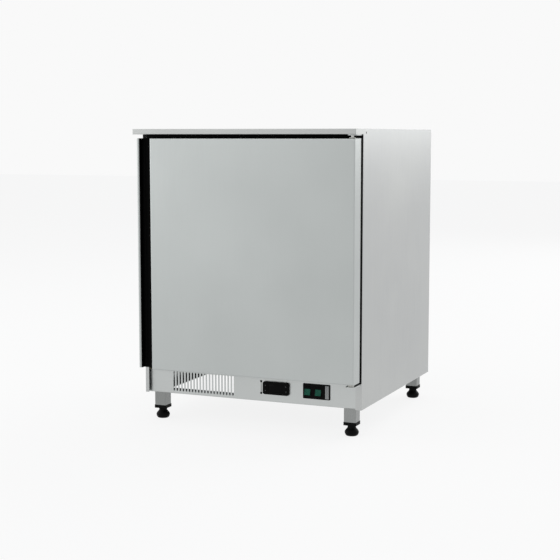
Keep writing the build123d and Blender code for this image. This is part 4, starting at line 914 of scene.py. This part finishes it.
# %% Copper pipes
comp_low, comp_high, comp = measured("compressor")
shell_foot = comp_low.z + 3 * mm
port = (shell_foot + comp_high.z) / 2
gas_x = (cond_high.x + comp_low.x) / 2
gas_z = cond_high.z - 18 * mm
drier_low, drier_high, drier = measured("filter_drier")
liquid_x = (cond_high.x + drier_low.x) / 2
feed_z = tail_height - 10 * mm
suction_z = feed_z - 8 * mm
gas = route((comp_low.x, comp.y, port), ("x", gas_x), ("y", cond.y), ("z", gas_z), ("x", cond_high.x))
liquid = route((cond_high.x, cond.y, drier.z), ("x", liquid_x), ("y", drier.y), ("x", drier_low.x))
suction = route((-coil_half, riser_back, tail_height), ("z", suction_z), ("y", drier.y), ("x", comp.x))
suction += route(suction[-1], ("z", port), ("y", comp_high.y))[1:]
feed = route((feed_x, riser_back, tail_height), ("z", feed_z), ("y", drier.y), ("z", drier.z))
feed += route(feed[-1], ("x", drier_high.x))[1:]
wide_pipes = [rounded_path(points, tight_bend) for points in (gas, liquid, suction)]
run_pipe("copper_pipes_smooth", copper_pipe, pipe_radius, 14, wide_pipes, ["copper_pipes"])
run_pipe("copper_feed_pipe", copper_pipe, feed_radius, 12, [rounded_path(feed, tight_bend)])
print("Copper pipes:", len(wide_pipes) + 1)

# %% [markdown]
# Melt water leaves the tank through a grey drain pipe with two bends. The filter drier is a short copper
# can whose ends are spun down to the pipes on both sides, so a lathe with one profile gives it.

# %% Drain pipe and filter drier
drain_low, drain_high, drain = measured("drain_pipe")
drain_radius = (drain_high.x - drain_low.x) / 2
start_y, end_y = drain_low.y + drain_radius, drain_high.y - drain_radius
drain_z = 136 * mm
bends = route((drain.x, start_y, drain_high.z), ("z", drain_z), ("y", end_y), ("z", drain_low.z))
drain_line = rounded_path(bends, 12 * mm)
run_pipe("drain_pipe_smooth", drain_hose, drain_radius, 24, [drain_line], ["drain_pipe"])
drier_profile = [(4.0, 0.0), (4.6, 4.0), (6.2, 10.0), (8.8, 17.0), (9.8, 22.0), (10.0, 26.0)]
drier_profile += [(10.0, 74.0), (9.8, 78.0), (8.8, 83.0), (6.2, 90.0), (4.6, 96.0), (4.0, 100.0)]
mesh = bmesh.new()
lathe(mesh, drier_profile, (drier_low.x, drier.y, drier.z), (1, 0, 0), 32)
piece("filter_drier_smooth", mesh, "cabinet", copper_tube, ["filter_drier"], smooth=30)
print("Drain from", round(drain_high.z, 4), "to", round(drain_low.z, 4), "m")

# %% [markdown]
# A hermetic compressor is two deep drawn steel shells, welded round the middle. Seen from above it is an
# oval. A stretched sphere would miss its upright walls, so a profile of shares and levels is turned round
# and then scaled to the oval, with the weld as a low band. The foot plate is welded on under it.

# %% Compressor shell and plate
shell_profile = [
    (0.66, 0.0), (0.80, 0.008), (0.90, 0.035), (0.95, 0.08), (0.972, 0.15), (0.978, 0.25), (0.978, 0.46),
    (1.0, 0.468), (1.0, 0.512), (0.978, 0.52), (0.975, 0.6), (0.965, 0.68), (0.94, 0.77), (0.89, 0.85),
    (0.81, 0.915), (0.69, 0.962), (0.53, 0.988), (0.3, 0.998), (0.05, 1.0),
]
shell_size = ((comp_high.x - comp_low.x) / 2, (comp_high.y - comp_low.y) / 2, comp_high.z - shell_foot)
mesh = bmesh.new()
lathe(mesh, shell_profile, (0, 0, 0), sides=72, unit=1.0)
bmesh.ops.scale(mesh, vec=shell_size, verts=mesh.verts)
bmesh.ops.translate(mesh, vec=(comp.x, comp.y, shell_foot), verts=mesh.verts)
piece("compressor_shell", mesh, "cabinet", black_enamel, ["compressor"], smooth=32)
plate_x, plate_y = 74 * mm, 60 * mm
plate = [(comp.x - plate_x, comp.y - plate_y, comp_low.z), (comp.x + plate_x, comp.y + plate_y, shell_foot)]
boxes("compressor_plate", [plate], 1 * mm, black_enamel)
print("Compressor:", [round(2 * v, 4) for v in shell_size[:2]], "m across")

# %% [markdown]
# A black cover hides the terminals at the compressor's front. The foot plate stands on four rubber feet,
# which are turned profiles with a groove that the plate sits in.

# %% Terminal cover and rubber feet
cover_half = 26 * mm
cover_rise = 20 * mm
low = (comp.x - cover_half, comp_low.y - 13 * mm, port - cover_half)
high = (comp.x + cover_half, comp_low.y + 8 * mm, port + cover_rise)
boxes("terminal_cover", [(low, high)], 4 * mm, black_abs, segments=4)
rubber_low, rubber_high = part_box("compressor_feet")
tall = (rubber_high.z - rubber_low.z) / mm
rubber_inset = 12 * mm
rubber_shape = [(9.5, 0.0), (11.8, 0.05), (12.0, 0.3), (9.2, 0.45), (9.2, 0.6)]
rubber_shape += [(11.2, 0.74), (11.2, 0.97), (10.0, 1.0)]
rubber_profile = [(radius, level * tall) for radius, level in rubber_shape]
mesh = bmesh.new()
for x in (rubber_low.x + rubber_inset, rubber_high.x - rubber_inset):
    for y in (rubber_low.y + rubber_inset, rubber_high.y - rubber_inset):
        lathe(mesh, rubber_profile, (x, y, rubber_low.z), sides=28)
piece("compressor_grommets", mesh, "cabinet", dark_rubber, ["compressor_feet"], smooth=40)
print("Rubber feet:", round(tall, 1), "mm tall")

# %% [markdown]
# The fan has five blades pressed from aluminium sheet. A blade is steep at the hub, where it moves slowly,
# and flatter at its tip, and it is arched across its width. A flat blade turned to one angle would look
# like a paddle, so each is two small grids of points bent that way, 1.2 mm apart and joined at their edges.
# Hub and blades ride on the rotor.

# %% Fan
fan_low, fan_high, fan = measured("fan")
axis = Vector(joints["fan_spin"]["pos_m"])
hub = [(4.0, -10.5), (15.0, -10.5), (20.5, -9.0), (22.6, -5.5), (23.0, 0.0), (23.0, 10.0)]
hub += [(22.0, 10.8), (4.0, 10.8)]
blades, across_steps, out_steps = 5, 8, 8
blade_root, blade_long = 21 * mm, 56 * mm
pitch_root, pitch_drop = 36, 15
chord_root, chord_gain = 33 * mm, 21 * mm
blade_camber = 2.6 * mm
blade_half = 0.6 * mm
blade_floor = fan_low.y + mm
blade_roof = fan_high.y - mm
mesh = bmesh.new()
lathe(mesh, hub, (axis.x, fan.y, axis.z), (0, 1, 0), 40)
for blade in range(blades):
    edges = []
    for face in (-blade_half, blade_half):
        grid = []
        for m in range(out_steps + 1):
            share = m / out_steps
            radius = blade_root + blade_long * share
            pitch = math.radians(pitch_root - pitch_drop * share)
            chord = chord_root + chord_gain * math.sin(math.pi * min(share + 0.12, 1.0) * 0.62)
            sweep = 0.10 * share * share
            row = []
            for n in range(across_steps + 1):
                along = n / across_steps - 0.5
                angle = 2 * math.pi * blade / blades + along * chord * math.cos(pitch) / radius + sweep
                y = fan.y + along * chord * math.sin(pitch) + (1 - 4 * along * along) * blade_camber - mm
                y = min(max(y, blade_floor), blade_roof) + face
                spot = (axis.x + radius * math.sin(angle), y, axis.z + radius * math.cos(angle))
                row.append(mesh.verts.new(spot))
            grid.append(row)
        for here, there in zip(grid, grid[1:]):
            for n in range(across_steps):
                mesh.faces.new((here[n], here[n + 1], there[n + 1], there[n]))
        edge = grid[0][:-1] + [row[-1] for row in grid[:-1]]
        edges.append(edge + grid[-1][:0:-1] + [row[0] for row in grid[:0:-1]])
    joined(mesh, edges, closed=False)
piece("fan_blades_pressed", mesh, "fan_rotor", fin_aluminium, ["fan"], smooth=40)
print("Fan radius", round(max(fan_high.z - axis.z, axis.z - fan_low.z), 4))

# %% [markdown]
# The fan's motor is a round casting with cooling ribs, and the shroud has a rolled collar round the blades.
# Both are turned: the motor as a closed body, the collar as a loop, because it is a thin wall with a hole
# through it.

# %% Fan motor and shroud collar
motor_low, motor_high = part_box("fan_motor")
motor_long = (motor_high.y - motor_low.y) / mm
motor_radius = (motor_high.x - motor_low.x) / 2 / mm
ribs = 7
rib_start, rib_pitch, rib_deep = 8.0, 4.4, 2.0
profile = [(6.0, 0.0), (motor_radius - 6.0, 0.0), (motor_radius - 1.5, 3.0), (motor_radius, 6.0)]
for n in range(ribs):
    start = rib_start + n * rib_pitch
    for drop, reach in ((0.0, 0.0), (rib_deep, 0.6), (rib_deep, 2.2), (0.0, 2.8)):
        profile.append((motor_radius - drop, start + reach))
for drop, reach in ((0.0, 5.0), (2.0, 1.5), (7.0, 0.0)):
    profile.append((motor_radius - drop, motor_long - reach))
mesh = bmesh.new()
lathe(mesh, profile + [(1.0, motor_long)], (axis.x, motor_low.y, axis.z), (0, 1, 0), 56)
piece("fan_motor_cast", mesh, "cabinet", black_enamel, ["fan_motor"], smooth=30)
shroud_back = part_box("fan_shroud")[1].y
collar_radius = (fan_high.z - axis.z) / mm + 4.0
collar_wall = [(0.2, -21.5), (3.2, -21.0), (2.2, -19.6), (1.8, -17.0), (1.7, -0.4), (1.2, 0.0)]
collar_wall += [(-0.1, 0.0), (-0.1, -18.0)]
collar_profile = [(collar_radius + out, y) for out, y in collar_wall]
mesh = bmesh.new()
lathe(mesh, collar_profile, (axis.x, shroud_back, axis.z), (0, 1, 0), 72, loop=True)
piece("shroud_collar", mesh, "cabinet", galvanised_steel)
print("Collar radius", round(collar_radius, 1), "mm")

# %% [markdown]
# Last come two small plated parts. The hinge pins are turned bars with a chamfer at each end. The appliance
# inlet has three blades that stand in its recess and end below its lip, and bevelled boxes are all they
# need.

# %% Hinge pins and inlet blades
pin_radius = (pin_high.x - pin_low.x) / 2 / mm
pin_depth = 20 * mm
chamfer, tip_chamfer = 0.6, 0.8
mesh = bmesh.new()
for start, end in ((pin_low.z, skin_low.z + pin_depth), (pin_high.z, skin_high.z - pin_depth)):
    tall = abs(end - start) / mm
    profile = [(pin_radius - chamfer, 0.0), (pin_radius, chamfer)]
    profile += [(pin_radius, tall - tip_chamfer), (pin_radius - tip_chamfer, tall)]
    lathe(mesh, profile, (pin.x, pin.y, start), (0, 0, 1 if end > start else -1), 32)
piece("hinge_pins_turned", mesh, "cabinet", plated_steel, ["hinge_pins"])
inlet_high, inlet = measured("power_inlet")[1:]
blade_x, blade_z = 1 * mm, 2 * mm
blades = []
for x, z in ((-7.0, -1.5), (7.0, -1.5), (0.0, 2.5)):
    spot_x, spot_z = inlet.x + x * mm, inlet.z + z * mm
    low = (spot_x - blade_x, inlet_high.y - 3.8 * mm, spot_z - blade_z)
    blades.append((low, (spot_x + blade_x, inlet_high.y - 0.5 * mm, spot_z + blade_z)))
boxes("inlet_blades", blades, 0.3 * mm, plated_steel)
print("Inlet at", [round(v, 4) for v in inlet])

# %% [markdown]
# The freezer stands on a plain pale floor. The photograph has an even white ground, so what the camera,
# reflections and clear parts see beside the object is a plain near-white. More light on a grey floor would
# burn out the steel as well. The floor's surface therefore gives off plain white for those rays, at a share
# of 0.85, and takes light like paint for the rest, which keeps the object's shadow.

# %% Floor and background
floor_white = 0.85
floor_half = 20.0


def backdrop_rays(tree):
    """1 where the camera, a reflection or a clear part looks at the background, else 0."""
    rays = add(tree, "ShaderNodeLightPath").outputs
    seen = rays["Is Camera Ray"]
    for kind in ("Is Glossy Ray", "Is Transmission Ray"):
        seen = add(tree, "ShaderNodeMath", {0: seen, 1: rays[kind]}, operation="MAXIMUM").outputs[0]
    return seen


world = bpy.data.worlds.new("soft_studio")
world.use_nodes = True
scene.world = world
tree = world.node_tree
tree.nodes.clear()
ground = add(tree, "ShaderNodeBackground", {"Color": colour("#f9f9f9"), "Strength": 1.0})
fill = add(tree, "ShaderNodeBackground", {"Color": colour("#f4f6f8"), "Strength": 0.55})
both = {"Fac": backdrop_rays(tree), 1: fill.outputs[0], 2: ground.outputs[0]}
mixed = add(tree, "ShaderNodeMixShader", both)
add(tree, "ShaderNodeOutputWorld", {"Surface": mixed.outputs[0]})

floor_paint = surface("matt_white_floor_paint", "#eeeeee", "#f2f2f2", (0.9, 0.9), {"size_mm": 3.0}, 0.02)
tree = floor_paint.node_tree
painted = tree.nodes["Principled BSDF"].outputs[0]
white = add(tree, "ShaderNodeEmission", {"Color": colour("#ffffff"), "Strength": 1.0})
share = add(tree, "ShaderNodeMath", {0: backdrop_rays(tree), 1: floor_white}, operation="MULTIPLY")
mixed = add(tree, "ShaderNodeMixShader", {"Fac": share.outputs[0], 1: painted, 2: white.outputs[0]})
tree.links.new(mixed.outputs[0], tree.nodes["Material Output"].inputs["Surface"])
floor_data = bpy.data.meshes.new("studio_floor")
floor_points = [(x * floor_half, y * floor_half, 0.0) for x, y in ((-1, -1), (1, -1), (1, 1), (-1, 1))]
floor_data.from_pydata(floor_points, [], [(0, 1, 2, 3)])
floor_data.materials.append(floor_paint)
floor = bpy.data.objects.new("studio_floor", floor_data)
scene.collection.objects.link(floor)
print("Floor", 2 * floor_half, "m wide")

# %% [markdown]
# Four large soft lamps light the object evenly. The key lamp stands in front of it to the left and gives
# the door its even grey. The strongest one stands high behind it to the right and lights the side panel.
# One at the left and one overhead brighten the edges and the worktop. They are area lamps metres wide,
# since small lamps would give the satin steel hard streaks. The camera doesn't see them, only their light
# and reflections.

# %% Lamps


def lamp(name, place, target, size, power):
    """A square area lamp that faces a point and doesn't show to the camera."""
    data = bpy.data.lights.new(name, "AREA")
    data.shape = "SQUARE"
    data.size = size
    data.energy = power
    thing = bpy.data.objects.new(name, data)
    direction = Vector(target) - Vector(place)
    thing.matrix_world = Matrix.Translation(place) @ direction.to_track_quat("-Z", "Y").to_matrix().to_4x4()
    thing.visible_camera = False
    scene.collection.objects.link(thing)
    return thing


middle = (0.0, 0.0, 0.42)
lamps = [
    lamp("key_lamp", (-3.8, -3.4, 1.6), middle, 4.2, 40),
    lamp("rear_right_lamp", (2.2, 4.8, 3.2), (0.3, 0.0, 0.9), 5.0, 115),
    lamp("edge_lamp", (-4.2, -0.6, 1.2), middle, 3.0, 28),
    lamp("top_lamp", (0.0, -0.4, 4.2), middle, 4.0, 34),
]
scene.view_settings.view_transform = "Standard"
print("Lamps:", [thing.name for thing in lamps])
